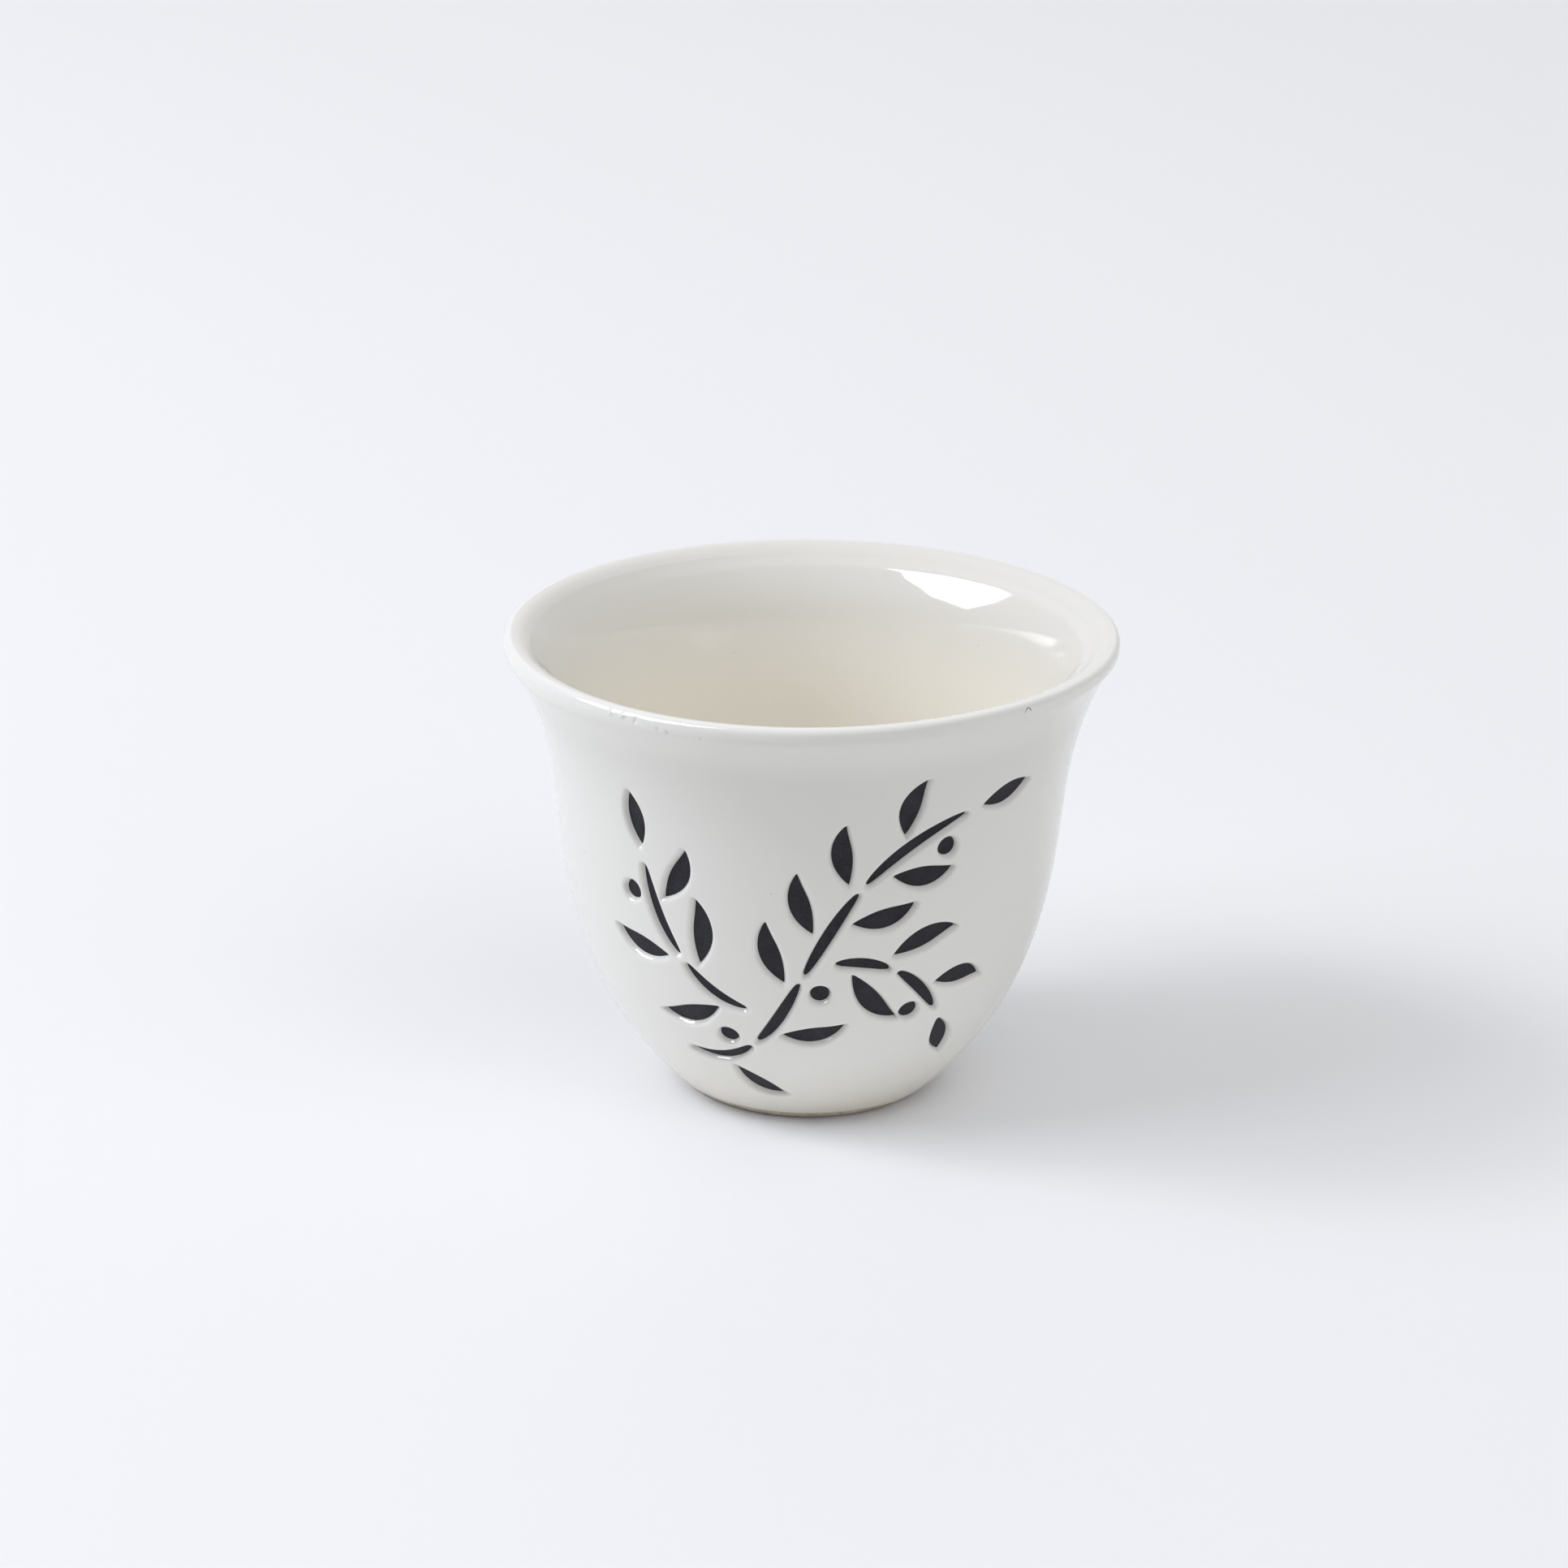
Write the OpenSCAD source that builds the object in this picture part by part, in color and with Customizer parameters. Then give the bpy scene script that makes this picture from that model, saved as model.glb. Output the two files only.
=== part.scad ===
// Arabic coffee cup: a small footed bowl without a handle, flared to a rounded lip.
// The clay body carries a liner glaze, an outer glaze and a glazed recess under the foot.
// A leafy sprig is engraved on the front, and each of its strokes holds a charcoal inlay.
// Lengths are in millimetres. The cup stands on z = 0, and the sprig faces -Y.

/* [Overall] */
// Outside diameter of the lip
rim_d = 65; // [60:0.5:72]
// Height from the table to the top of the lip
cup_h = 50.9; // [48:0.1:56]

/* [Bowl] */
// Diameter of the bowl where it meets the foot ring
foot_d = 26; // [23:0.5:30]
// Outward run of the wall for each unit of height, just above the foot
foot_spread = 1.1; // [0.9:0.05:1.3]
// Height of the belly, where the bowl turns into the upper wall
belly_h = 25; // [22:0.5:28]
// Outside diameter at the belly
belly_d = 52.4; // [48:0.5:56]
// Outward run of the wall for each unit of height, at the belly
belly_spread = 0.17; // [0.1:0.01:0.25]
// Outward run of the wall for each unit of height, under the lip
flare_spread = 0.64; // [0.4:0.02:0.8]

/* [Lip] */
// Height of the rounded lip above the crease under it
lip_h = 2.7; // [1.8:0.1:3.3]
// How far the lip stands out past its crease
lip_bulge = 0.6; // [0.3:0.05:1]
// Height from the widest line of the lip to its top
lip_crown = 0.75; // [0.6:0.05:1.1]
// Distance from the widest line of the lip in to its top
lip_shoulder = 0.75; // [0.6:0.05:1.1]
// Thickness of the lip, from its widest line to where its inner side meets the wall
lip_t = 3.2; // [2.7:0.1:3.7]
// Height over which the lip's inner side rolls into the wall
lip_roll = 2; // [1.6:0.1:2.6]

/* [Wall] */
// Thickness of the glazed wall at the belly
wall_t = 2.5; // [2.2:0.1:3.2]
// Height of the inside floor above the table
floor_h = 5; // [4.5:0.1:6.5]
// Outward run of the inside wall for each unit of height, at the lip
inside_spread = 0.65; // [0.5:0.05:0.8]

/* [Foot] */
// Width of the bare ring that the cup stands on
ring_w = 2.4; // [1.8:0.1:3.2]
// Height of the hollow inside the foot ring
recess_h = 1.3; // [0.8:0.1:1.8]
// Rounding of the ring's outer edge, where the bowl starts
foot_round = 0.5; // [0.3:0.05:0.8]
// Rounding of the ring's inner edge
ring_round = 0.35; // [0.2:0.05:0.5]
// How far the ring's inner wall leans towards the axis over the height of the hollow
ring_lean = 0.7; // [0.3:0.1:1.2]

/* [Glaze] */
// Thickness of the glaze
glaze_t = 0.35; // [0.25:0.05:0.5]
// Height of the bare clay band left at the foot
bare_h = 0.9; // [0.7:0.1:1.5]

/* [Engraving] */
// Depth of the engraved strokes below the glaze
stroke_depth = 0.95; // [0.7:0.05:1.1]
// Thickness of the charcoal inlay on the floor of each stroke
inlay_t = 0.3; // [0.2:0.05:0.4]
// Width of a stem stroke
stem_w = 1.3; // [1:0.05:1.5]
// Gap between the strokes of one stem
stem_gap = 1.2; // [1:0.1:1.6]
// Length of the longest leaf
leaf_l = 8.6; // [7:0.1:9]
// Width of a leaf
leaf_w = 2.3; // [1.8:0.1:2.4]
// Land of glaze left between a leaf and its stem
leaf_land = 0.85; // [0.7:0.05:1]
// Angle between a leaf and its stem
leaf_angle = 42; // [38:1:46]
// Diameter of a berry
berry_d = 2.1; // [1.6:0.1:2.2]

/* [Hidden] */

// Radii and heights that the sizes above give
rim_r = rim_d / 2;
foot_r = foot_d / 2;
belly_r = belly_d / 2;
crease_r = rim_r - lip_bulge;
crease_h = cup_h - lip_h;
widest_h = cup_h - lip_crown;
crest_r = rim_r - lip_shoulder;
inner_lip_r = rim_r - lip_t;
inner_lip_h = cup_h - lip_roll;
inner_belly_r = belly_r - wall_t;
ring_inner_r = foot_r - ring_w;

// Steps along each stretch of the profile
foot_steps = 5;
bowl_steps = 14;
flare_steps = 12;
lip_steps = 5;
floor_steps = 14;
// Steps along the centre line of a stroke
stroke_steps = 12;

// Handles of the curve of the inside floor, as shares of the height and width that it spans
floor_drop_share = 0.9;
floor_run_share = 0.63;
// Handle of a quarter ellipse drawn as a cubic curve
round_share = 0.5523;
// Handle of the lip's outer face, as a share of the height from its crease to its widest line
face_share = 0.5;

// Overrun of a cut past the surface that it opens
overrun = 1;

// Shoots of the sprig: control points as shares of the belly's radius along the wall,
// and of the height from the floor line to the crease up the wall
main_shoot_share = [[-0.62, 0.20], [0.08, 0.13], [-0.14, 0.70], [0.66, 0.80]];
left_shoot_share = [[-0.27, 0.34], [-0.50, 0.37], [-0.66, 0.50], [-0.70, 0.68]];
right_shoot_share = [[0.11, 0.465], [0.29, 0.48], [0.48, 0.42], [0.62, 0.30]];
// Strokes that each shoot's stem is drawn with
stem_counts = [4, 2, 2];
// Where the leaves stand along each shoot, as shares of it, with the side in the sign
main_leaf_shares = [0.12, 0.32, -0.46, -0.60, 0.66, -0.73, 0.80, -0.87];
left_leaf_shares = [-0.16, 0.40, -0.52, 0.80];
right_leaf_shares = [0.14, -0.40, -0.78];
// How much shorter the last leaf of a shoot is than its first
leaf_taper_share = 0.28;
// How far a leaf's middle bends away from its stem, as a share of its angle
leaf_bend_share = 0.3;
// Places of the berries: shoot, share along it, side
berry_shares = [[0, 0.17, -1], [0, 0.475, 1], [0, 0.93, 1], [1, 0.84, -1], [2, 0.80, 1]];
// Distance from the stem to a berry's centre
berry_reach = stem_w / 2 + leaf_land + berry_d / 2;

SHOOTS = [main_shoot_share, left_shoot_share, right_shoot_share];
LEAF_SHARES = [main_leaf_shares, left_leaf_shares, right_leaf_shares];
SHOOT_NAMES = ["main", "left", "right"];

STEM_NAMES = [for (k = [0:2]) for (i = [1:stem_counts[k]]) str(SHOOT_NAMES[k], "_stem_inlay_", i)];
LEAF_NAMES = [for (k = [0:2]) for (i = [1:len(LEAF_SHARES[k]) + 1]) str(SHOOT_NAMES[k], "_leaf_inlay_", i)];
BERRY_NAMES = [for (i = [1:len(berry_shares)]) str("berry_inlay_", i)];

// Cubic curve through its first and last control point
function curve(c, t) = c[0] * pow(1 - t, 3) + 3 * c[1] * t * pow(1 - t, 2) + 3 * c[2] * t * t * (1 - t)
    + c[3] * pow(t, 3);
function curve_run(c, t) = 3 * (c[1] - c[0]) * pow(1 - t, 2) + 6 * (c[2] - c[1]) * t * (1 - t)
    + 3 * (c[3] - c[2]) * t * t;
function unit(v) = v / norm(v);
function right_of(v) = [v[1], -v[0]];
function turned(v, a) = [v[0] * cos(a) - v[1] * sin(a), v[0] * sin(a) + v[1] * cos(a)];

// Points of a curve, moved off it to the right of its run by a distance
function offset_curve(c, steps, off) =
    [for (i = [0:steps]) curve(c, i / steps) + off * right_of(unit(curve_run(c, i / steps)))];

// Control points of a curve between two heights with a given spread at each
function spread_curve(r0, h0, s0, r1, h1, s1) = let(third = (h1 - h0) / 3)
    [[r0, h0], [r0 + s0 * third, h0 + third], [r1 - s1 * third, h1 - third], [r1, h1]];

// The stretches of the glazed outside, from the foot up
bowl_curve = spread_curve(foot_r, 0, foot_spread, belly_r, belly_h, belly_spread);
flare_curve = spread_curve(belly_r, belly_h, belly_spread, crease_r, crease_h, flare_spread);
face_drop = face_share * (widest_h - crease_h);
face_curve = [
    [crease_r, crease_h],
    [crease_r + lip_bulge * round_share, crease_h + face_drop / 2],
    [rim_r, widest_h - face_drop],
    [rim_r, widest_h]
];
crown_curve = [
    [rim_r, widest_h],
    [rim_r, widest_h + round_share * lip_crown],
    [crest_r + round_share * lip_shoulder, cup_h],
    [crest_r, cup_h]
];
// The stretches of the glazed inside, from the lip down
inner_crown_curve = [
    [crest_r, cup_h],
    [crest_r - round_share * (lip_t - lip_shoulder), cup_h],
    [inner_lip_r + inside_spread * lip_roll / 2, inner_lip_h + lip_roll / 2],
    [inner_lip_r, inner_lip_h]
];
inner_flare_curve = spread_curve(inner_lip_r, inner_lip_h, inside_spread, inner_belly_r, belly_h, belly_spread);
floor_drop = floor_drop_share * (belly_h - floor_h);
floor_curve = [
    [inner_belly_r, belly_h],
    [inner_belly_r - belly_spread * floor_drop, belly_h - floor_drop],
    [floor_run_share * inner_belly_r, floor_h],
    [0, floor_h]
];

// Where the glaze starts on the bowl, as a share of the bowl's curve, which rises evenly
bare_share = bare_h / belly_h;
glazed_bowl_curve = let(p = curve(bowl_curve, bare_share), d = curve_run(bowl_curve, bare_share) * (1 - bare_share) / 3)
    [p, p + d, bowl_curve[3] + (bowl_curve[2] - bowl_curve[3]) * (1 - bare_share), bowl_curve[3]];

function rest_of(points) = [for (i = [1:len(points) - 1]) points[i]];
function backwards(points) = [for (i = [len(points) - 1:-1:0]) points[i]];

// A surface a given depth below the glazed outside, from the bare band to the top of the lip
function outside_points(depth) = concat(
    offset_curve(glazed_bowl_curve, bowl_steps, -depth),
    rest_of(offset_curve(flare_curve, flare_steps, -depth)),
    rest_of(offset_curve(face_curve, lip_steps, -depth)),
    rest_of(offset_curve(crown_curve, lip_steps, -depth)));

// A surface a given depth below the glazed inside, from the top of the lip to the axis
function inside_points(depth) = concat(
    offset_curve(inner_crown_curve, lip_steps, -depth),
    rest_of(offset_curve(inner_flare_curve, flare_steps, -depth)),
    rest_of(offset_curve(floor_curve, floor_steps, -depth)));

// The bare foot: down the ring's inner wall, round its inner edge, along the flat, and round its outer edge
foot_edge = offset_curve(bowl_curve, bowl_steps, -glaze_t)[0];
inner_edge_curve = [
    [ring_inner_r, ring_round],
    [ring_inner_r, ring_round * (1 - round_share)],
    [ring_inner_r + ring_round * (1 - round_share), 0],
    [ring_inner_r + ring_round, 0]
];
outer_edge_curve = [
    [foot_edge[0] - foot_round, 0],
    [foot_edge[0] - foot_round * (1 - round_share), 0],
    [foot_edge[0] + foot_spread * foot_round * (1 - round_share), foot_round * (1 - round_share)],
    [foot_edge[0] + foot_spread * foot_round, foot_round]
];
foot_points = concat(
    [[0, recess_h], [ring_inner_r - ring_lean, recess_h]],
    offset_curve(inner_edge_curve, foot_steps, 0),
    offset_curve(outer_edge_curve, foot_steps, 0));
// Radius of the hollow at the face of its glaze
hollow_r = ring_inner_r - ring_lean * (recess_h - glaze_t - ring_round) / (recess_h - ring_round);

// Radius and spread of the glazed outside at a height
function wall_curve(h) = h < belly_h ? bowl_curve : flare_curve;
function wall_share(h) = h < belly_h ? h / belly_h : (h - belly_h) / (crease_h - belly_h);
function wall_r(h) = curve(wall_curve(h), wall_share(h))[0];
function wall_spread(h) = let(d = curve_run(wall_curve(h), wall_share(h))) d[0] / d[1];

// A shoot's control points on the unrolled wall: distance along the belly, height
function shoot(k) = [for (p = SHOOTS[k]) [p[0] * belly_r, p[1] * crease_h]];

// A point of the unrolled wall in the plane that touches the wall at a centre
function in_plane(p, centre) = [
    (p[0] - centre[0]) * wall_r(p[1]) / belly_r,
    (p[1] - centre[1]) * norm([1, wall_spread(centre[1])])
];

// A stroke's outline about its centre: a centre line with a width that swells between pointed ends
function swell(t, fullness) = pow(sin(180 * t), fullness);
function stroke_outline(c, width, fullness) =
    let(centre = curve(c, 0.5), line = [for (p = c) in_plane(p, centre)])
    let(sides = [for (side = [1, -1]) [for (i = [0:stroke_steps])
        let(t = (1 - cos(180 * i / stroke_steps)) / 2)
        curve(line, t) + side * width / 2 * swell(t, fullness) * right_of(unit(curve_run(line, t)))]])
    concat(sides[0], [for (i = [stroke_steps - 1:-1:1]) sides[1][i]]);

// Centre lines of the stem strokes of a shoot, each a stretch of the shoot's curve
function stretch(c, t0, t1) = let(p0 = curve(c, t0), p1 = curve(c, t1), third = (t1 - t0) / 3)
    [p0, p0 + third * curve_run(c, t0), p1 - third * curve_run(c, t1), p1];
function stem_line(k, i) = let(c = shoot(k), n = stem_counts[k])
    let(gap = stem_gap / norm(curve_run(c, (i + 1) / n)))
    stretch(c, i / n, (i + 1) / n - gap);

// Centre line of a leaf, from its foot beside the stem to its tip
function leaf_line(k, j) = let(c = shoot(k), shares = LEAF_SHARES[k], last = len(shares))
    let(t = j < last ? abs(shares[j]) : 1, side = j < last ? sign(shares[j]) : 0)
    let(along = unit(curve_run(c, t)), out = side == 0 ? along : turned(along, -side * leaf_angle))
    let(length = leaf_l * (1 - leaf_taper_share * t), foot = curve(c, t)
        + side * (stem_w / 2 + leaf_land) * right_of(along) + out * leaf_land * (side == 0 ? 1 : 0))
    let(bent = turned(out, -side * leaf_angle * leaf_bend_share))
    [foot, foot + length / 3 * bent, foot + length * 2 / 3 * bent, foot + length * out];

function berry_place(i) = let(b = berry_shares[i], c = shoot(b[0]))
    curve(c, b[1]) + b[2] * berry_reach * right_of(unit(curve_run(c, b[1])));

// Fullness of a stem stroke's ends and of a leaf's
stem_fullness = 0.4;
leaf_fullness = 0.85;

// Puts what is drawn in the touching plane at a place of the unrolled wall, with +Z pointing out of the wall
module on_wall(place) {
    rotate([0, 0, place[0] / belly_r * 180 / PI])
        translate([0, -wall_r(place[1]), place[1]])
        rotate([90 + atan(wall_spread(place[1])), 0, 0])
        children();
}

// A straight prism through the glaze into the clay, with the outline of one stroke
module stroke_prism(c, width, fullness) {
    on_wall(curve(c, 0.5))
        translate([0, 0, -stroke_depth - overrun])
        linear_extrude(stroke_depth + 2 * overrun)
        polygon(stroke_outline(c, width, fullness));
}

module berry_prism(place) {
    on_wall(place)
        translate([0, 0, -stroke_depth - overrun])
        cylinder(d = berry_d, h = stroke_depth + 2 * overrun, $fn = 48);
}

module all_prisms() {
    for (k = [0:2]) {
        for (i = [0:stem_counts[k] - 1]) stroke_prism(stem_line(k, i), stem_w, stem_fullness);
        for (j = [0:len(LEAF_SHARES[k])]) stroke_prism(leaf_line(k, j), leaf_w, leaf_fullness);
    }
    for (i = [0:len(berry_shares) - 1]) berry_prism(berry_place(i));
}

// Everything inside a surface that lies a given depth below the glazed outside
module core(depth) {
    points = outside_points(depth);
    rotate_extrude($fn = 96)
        polygon(concat([[0, points[0][1]]], points, [[0, points[len(points) - 1][1]]]));
}

// The charcoal on the floor of a stroke
module inlay_of() {
    difference() {
        intersection() {
            children();
            core(stroke_depth - inlay_t);
        }
        core(stroke_depth);
    }
}

module clay_body() {
    color("linen") difference() {
        rotate_extrude($fn = 96)
            polygon(concat(foot_points, outside_points(glaze_t), inside_points(glaze_t)));
        difference() {
            all_prisms();
            core(stroke_depth);
        }
    }
}

module outer_glaze() {
    color("white") difference() {
        rotate_extrude($fn = 96) polygon(concat(outside_points(0), backwards(outside_points(glaze_t))));
        all_prisms();
    }
}

module inner_glaze() {
    color("ivory") rotate_extrude($fn = 96)
        polygon(concat(inside_points(0), backwards(inside_points(glaze_t))));
}

module foot_glaze() {
    color("white") rotate_extrude($fn = 96) polygon([
        [0, recess_h - glaze_t],
        [hollow_r, recess_h - glaze_t],
        [ring_inner_r - ring_lean, recess_h],
        [0, recess_h]
    ]);
}

module stem_inlay(k, i) {
    color("darkslategray") inlay_of() stroke_prism(stem_line(k, i), stem_w, stem_fullness);
}

module leaf_inlay(k, j) {
    color("darkslategray") inlay_of() stroke_prism(leaf_line(k, j), leaf_w, leaf_fullness);
}

module berry_inlay(i) {
    color("darkslategray") inlay_of() berry_prism(berry_place(i));
}

clay_body();
outer_glaze();
inner_glaze();
foot_glaze();
for (k = [0:2]) {
    for (i = [0:stem_counts[k] - 1])
        stem_inlay(k, i);
    for (j = [0:len(LEAF_SHARES[k])])
        leaf_inlay(k, j);
}
for (i = [0:len(berry_shares) - 1])
    berry_inlay(i);
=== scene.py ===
"""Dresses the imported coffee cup: glazes, bare clay, engraved sprig with its charcoal, light and camera."""

from __future__ import annotations

import logging
import math
from collections.abc import Callable
from dataclasses import dataclass, field
from enum import Enum

import bpy
import numpy as np
from mathutils import Matrix, Vector
from mathutils.geometry import delaunay_2d_cdt


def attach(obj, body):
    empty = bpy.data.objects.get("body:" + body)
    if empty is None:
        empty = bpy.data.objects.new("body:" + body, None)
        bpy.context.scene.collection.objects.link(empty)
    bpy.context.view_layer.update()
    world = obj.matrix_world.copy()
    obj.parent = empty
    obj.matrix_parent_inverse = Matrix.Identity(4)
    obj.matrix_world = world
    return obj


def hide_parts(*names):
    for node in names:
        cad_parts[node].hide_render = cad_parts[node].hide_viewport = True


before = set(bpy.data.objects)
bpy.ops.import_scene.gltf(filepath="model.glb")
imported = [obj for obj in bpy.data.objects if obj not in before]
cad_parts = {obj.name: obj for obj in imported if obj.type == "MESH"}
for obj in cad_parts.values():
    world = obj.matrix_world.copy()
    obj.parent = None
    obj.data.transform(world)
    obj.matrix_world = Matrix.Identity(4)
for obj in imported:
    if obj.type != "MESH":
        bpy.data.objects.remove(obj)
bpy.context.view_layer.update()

LOG = logging.getLogger("coffee_cup")
MM = 0.001
Colour = tuple[float, float, float]
Socket = bpy.types.NodeSocket
BODY = "root"


class Slot(Enum):
    """The record's material slots."""

    FIRED_CLAY = "fired_clay"
    WHITE_GLAZE = "white_glaze"
    CREAM_GLAZE = "cream_glaze"
    CHARCOAL = "charcoal_inlay"


# Curves


def curve(controls: np.ndarray, t: np.ndarray) -> np.ndarray:
    """Points of a cubic curve.

    Args:
        controls: Four control points.
        t: Shares along the curve.

    Returns:
        One point for each share.
    """
    c, t = np.asarray(controls, float), np.atleast_1d(t)[:, None]
    return c[0] * (1 - t) ** 3 + 3 * c[1] * t * (1 - t) ** 2 + 3 * c[2] * t * t * (1 - t) + c[3] * t**3


def curve_run(controls: np.ndarray, t: np.ndarray) -> np.ndarray:
    """Derivatives of a cubic curve.

    Args:
        controls: Four control points.
        t: Shares along the curve.

    Returns:
        One derivative for each share.
    """
    c, t = np.asarray(controls, float), np.atleast_1d(t)[:, None]
    return 3 * (c[1] - c[0]) * (1 - t) ** 2 + 6 * (c[2] - c[1]) * t * (1 - t) + 3 * (c[3] - c[2]) * t * t


def unit(v: np.ndarray) -> np.ndarray:
    """Vectors along v, of length one."""
    return v / np.linalg.norm(v, axis=-1, keepdims=True)


def right_of(v: np.ndarray) -> np.ndarray:
    """Vectors a quarter turn to the right of v."""
    return np.stack([v[..., 1], -v[..., 0]], axis=-1)


def turned(v: np.ndarray, degrees: float) -> np.ndarray:
    """A flat vector turned to the left by an angle."""
    a = math.radians(degrees)
    return np.array([v[0] * math.cos(a) - v[1] * math.sin(a), v[0] * math.sin(a) + v[1] * math.cos(a)])


def spread_curve(low: tuple[float, float, float], high: tuple[float, float, float]) -> np.ndarray:
    """Control points of a wall between two heights.

    Args:
        low: Radius, height and outward run for each unit of height at the lower end.
        high: The same at the upper end.

    Returns:
        Four control points, evenly spaced in height.
    """
    (r0, h0, s0), (r1, h1, s1) = low, high
    third = (h1 - h0) / 3
    return np.array([[r0, h0], [r0 + s0 * third, h0 + third], [r1 - s1 * third, h1 - third], [r1, h1]])


# The cup's form


@dataclass(frozen=True)
class CupForm:
    """Sizes of the cup in millimetres, the solids' and a few of the glaze's, and the curves they give."""

    rim_d: float = 65.0
    cup_h: float = 50.9
    foot_d: float = 26.0
    foot_spread: float = 1.1
    belly_h: float = 25.0
    belly_d: float = 52.4
    belly_spread: float = 0.17
    flare_spread: float = 0.64
    lip_h: float = 2.7
    lip_bulge: float = 0.6
    lip_crown: float = 0.75
    lip_shoulder: float = 0.75
    lip_t: float = 3.2
    lip_roll: float = 2.0
    wall_t: float = 2.5
    floor_h: float = 5.0
    inside_spread: float = 0.65
    ring_w: float = 2.4
    recess_h: float = 1.3
    foot_round: float = 0.5
    ring_round: float = 0.35
    ring_lean: float = 0.7
    glaze_t: float = 0.35
    bare_h: float = 0.9
    stroke_depth: float = 0.95
    inlay_t: float = 0.3
    round_share: float = 0.5523
    pool_t: float = 0.5
    pool_h: float = 46.5
    pool_reach: float = 4.2
    pool_rise: float = 0.9
    samples: int = 2400
    curve_points: int = 400
    outside_soft: float = 0.11
    inside_soft: float = 0.22
    floor_drop: float = 0.9
    floor_reach: float = 0.63
    foot_points: int = 12
    hollow_points: int = 60
    hollow_soft: float = 0.15
    hollow_lead: float = 2.0

    @property
    def belly_r(self) -> float:
        """Outside radius at the belly."""
        return self.belly_d / 2

    @property
    def crease_r(self) -> float:
        """Radius at the crease under the lip."""
        return self.rim_d / 2 - self.lip_bulge

    @property
    def crease_h(self) -> float:
        """Height of the crease under the lip."""
        return self.cup_h - self.lip_h

    @property
    def crest(self) -> tuple[float, float]:
        """Radius and height of the lip's top."""
        return self.rim_d / 2 - self.lip_shoulder, self.cup_h

    @property
    def bowl_curve(self) -> np.ndarray:
        """The glazed outside from the table to the belly."""
        return spread_curve(
            (self.foot_d / 2, 0, self.foot_spread), (self.belly_r, self.belly_h, self.belly_spread)
        )

    @property
    def flare_curve(self) -> np.ndarray:
        """The glazed outside from the belly to the crease."""
        belly = (self.belly_r, self.belly_h, self.belly_spread)
        return spread_curve(belly, (self.crease_r, self.crease_h, self.flare_spread))

    def outside(self) -> np.ndarray:
        """Radius and height along the glazed outside, from the bare band to the lip's top.

        Returns:
            Evenly spaced points, softened as a melted glaze is.
        """
        t, s = np.linspace(0, 1, self.curve_points), self.round_share
        widest = self.cup_h - self.lip_crown
        drop = (widest - self.crease_h) / 2
        rim_r, (crest_r, _) = self.rim_d / 2, self.crest
        face = [
            [self.crease_r, self.crease_h],
            [self.crease_r + self.lip_bulge * s, self.crease_h + drop / 2],
            [rim_r, widest - drop],
            [rim_r, widest],
        ]
        crown = [
            [rim_r, widest],
            [rim_r, widest + s * self.lip_crown],
            [crest_r + s * self.lip_shoulder, self.cup_h],
            [crest_r, self.cup_h],
        ]
        start = self.bare_h / self.belly_h
        parts = [
            curve(self.bowl_curve, start + (1 - start) * t),
            curve(self.flare_curve, t)[1:],
            curve(face, t)[1:],
            curve(crown, t)[1:],
        ]
        return soften(even(np.vstack(parts), self.samples), self.outside_soft)

    def inside(self) -> np.ndarray:
        """Radius and height along the glazed inside, from the lip's top to the axis.

        Returns:
            Evenly spaced points, softened as a melted glaze is, with the glaze pooled under the lip.
        """
        t, s = np.linspace(0, 1, self.curve_points), self.round_share
        lip_r, lip_h = self.rim_d / 2 - self.lip_t, self.cup_h - self.lip_roll
        belly_r, run = self.belly_r - self.wall_t, self.inside_spread
        crest_r, _ = self.crest
        crown = [
            [crest_r, self.cup_h],
            [crest_r - s * (self.lip_t - self.lip_shoulder), self.cup_h],
            [lip_r + run * self.lip_roll / 2, lip_h + self.lip_roll / 2],
            [lip_r, lip_h],
        ]
        flare = spread_curve((lip_r, lip_h, run), (belly_r, self.belly_h, self.belly_spread))
        drop = self.floor_drop * (self.belly_h - self.floor_h)
        floor = [
            [belly_r, self.belly_h],
            [belly_r - self.belly_spread * drop, self.belly_h - drop],
            [self.floor_reach * belly_r, self.floor_h],
            [0, self.floor_h],
        ]
        parts = [curve(crown, t), curve(flare, t)[1:], curve(floor, t)[1:]]
        line = soften(even(np.vstack(parts), self.samples), self.inside_soft)
        pooled = self.pool_t * np.exp(-(((line[:, 1] - self.pool_h) / self.pool_reach) ** 2))
        pooled *= np.clip((self.cup_h - line[:, 1]) / self.pool_rise, 0, 1)
        return line - np.stack([pooled, np.zeros(len(line))], axis=1)

    def foot(self) -> np.ndarray:
        """Radius and height along the bare foot, from the axis under the cup to the glaze's edge."""
        t, s = np.linspace(0, 1, self.foot_points), self.round_share
        ring_r = self.foot_d / 2 - self.ring_w
        edge = self.foot_d / 2 - self.glaze_t / math.hypot(1, self.foot_spread)
        rr, fr, run = self.ring_round, self.foot_round, self.foot_spread
        inner = [[ring_r, rr], [ring_r, rr * (1 - s)], [ring_r + rr * (1 - s), 0], [ring_r + rr, 0]]
        outer = [
            [edge - fr, 0],
            [edge - fr * (1 - s), 0],
            [edge + run * fr * (1 - s), fr * (1 - s)],
            [edge + run * fr, fr],
        ]
        corner = [ring_r - self.ring_lean, self.recess_h]
        bends = np.array([[corner[0] - self.hollow_lead, corner[1]], corner, [ring_r, rr]])
        hollow = soften(even(bends, self.hollow_points), self.hollow_soft)
        return np.vstack([[[0, self.recess_h]], hollow[:-1], curve(inner, t), curve(outer, t)])

    def wall_r(self, h: float) -> float:
        """Radius of the glazed outside at a height."""
        c, share = self._wall(h)
        return float(curve(c, share)[0, 0])

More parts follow.
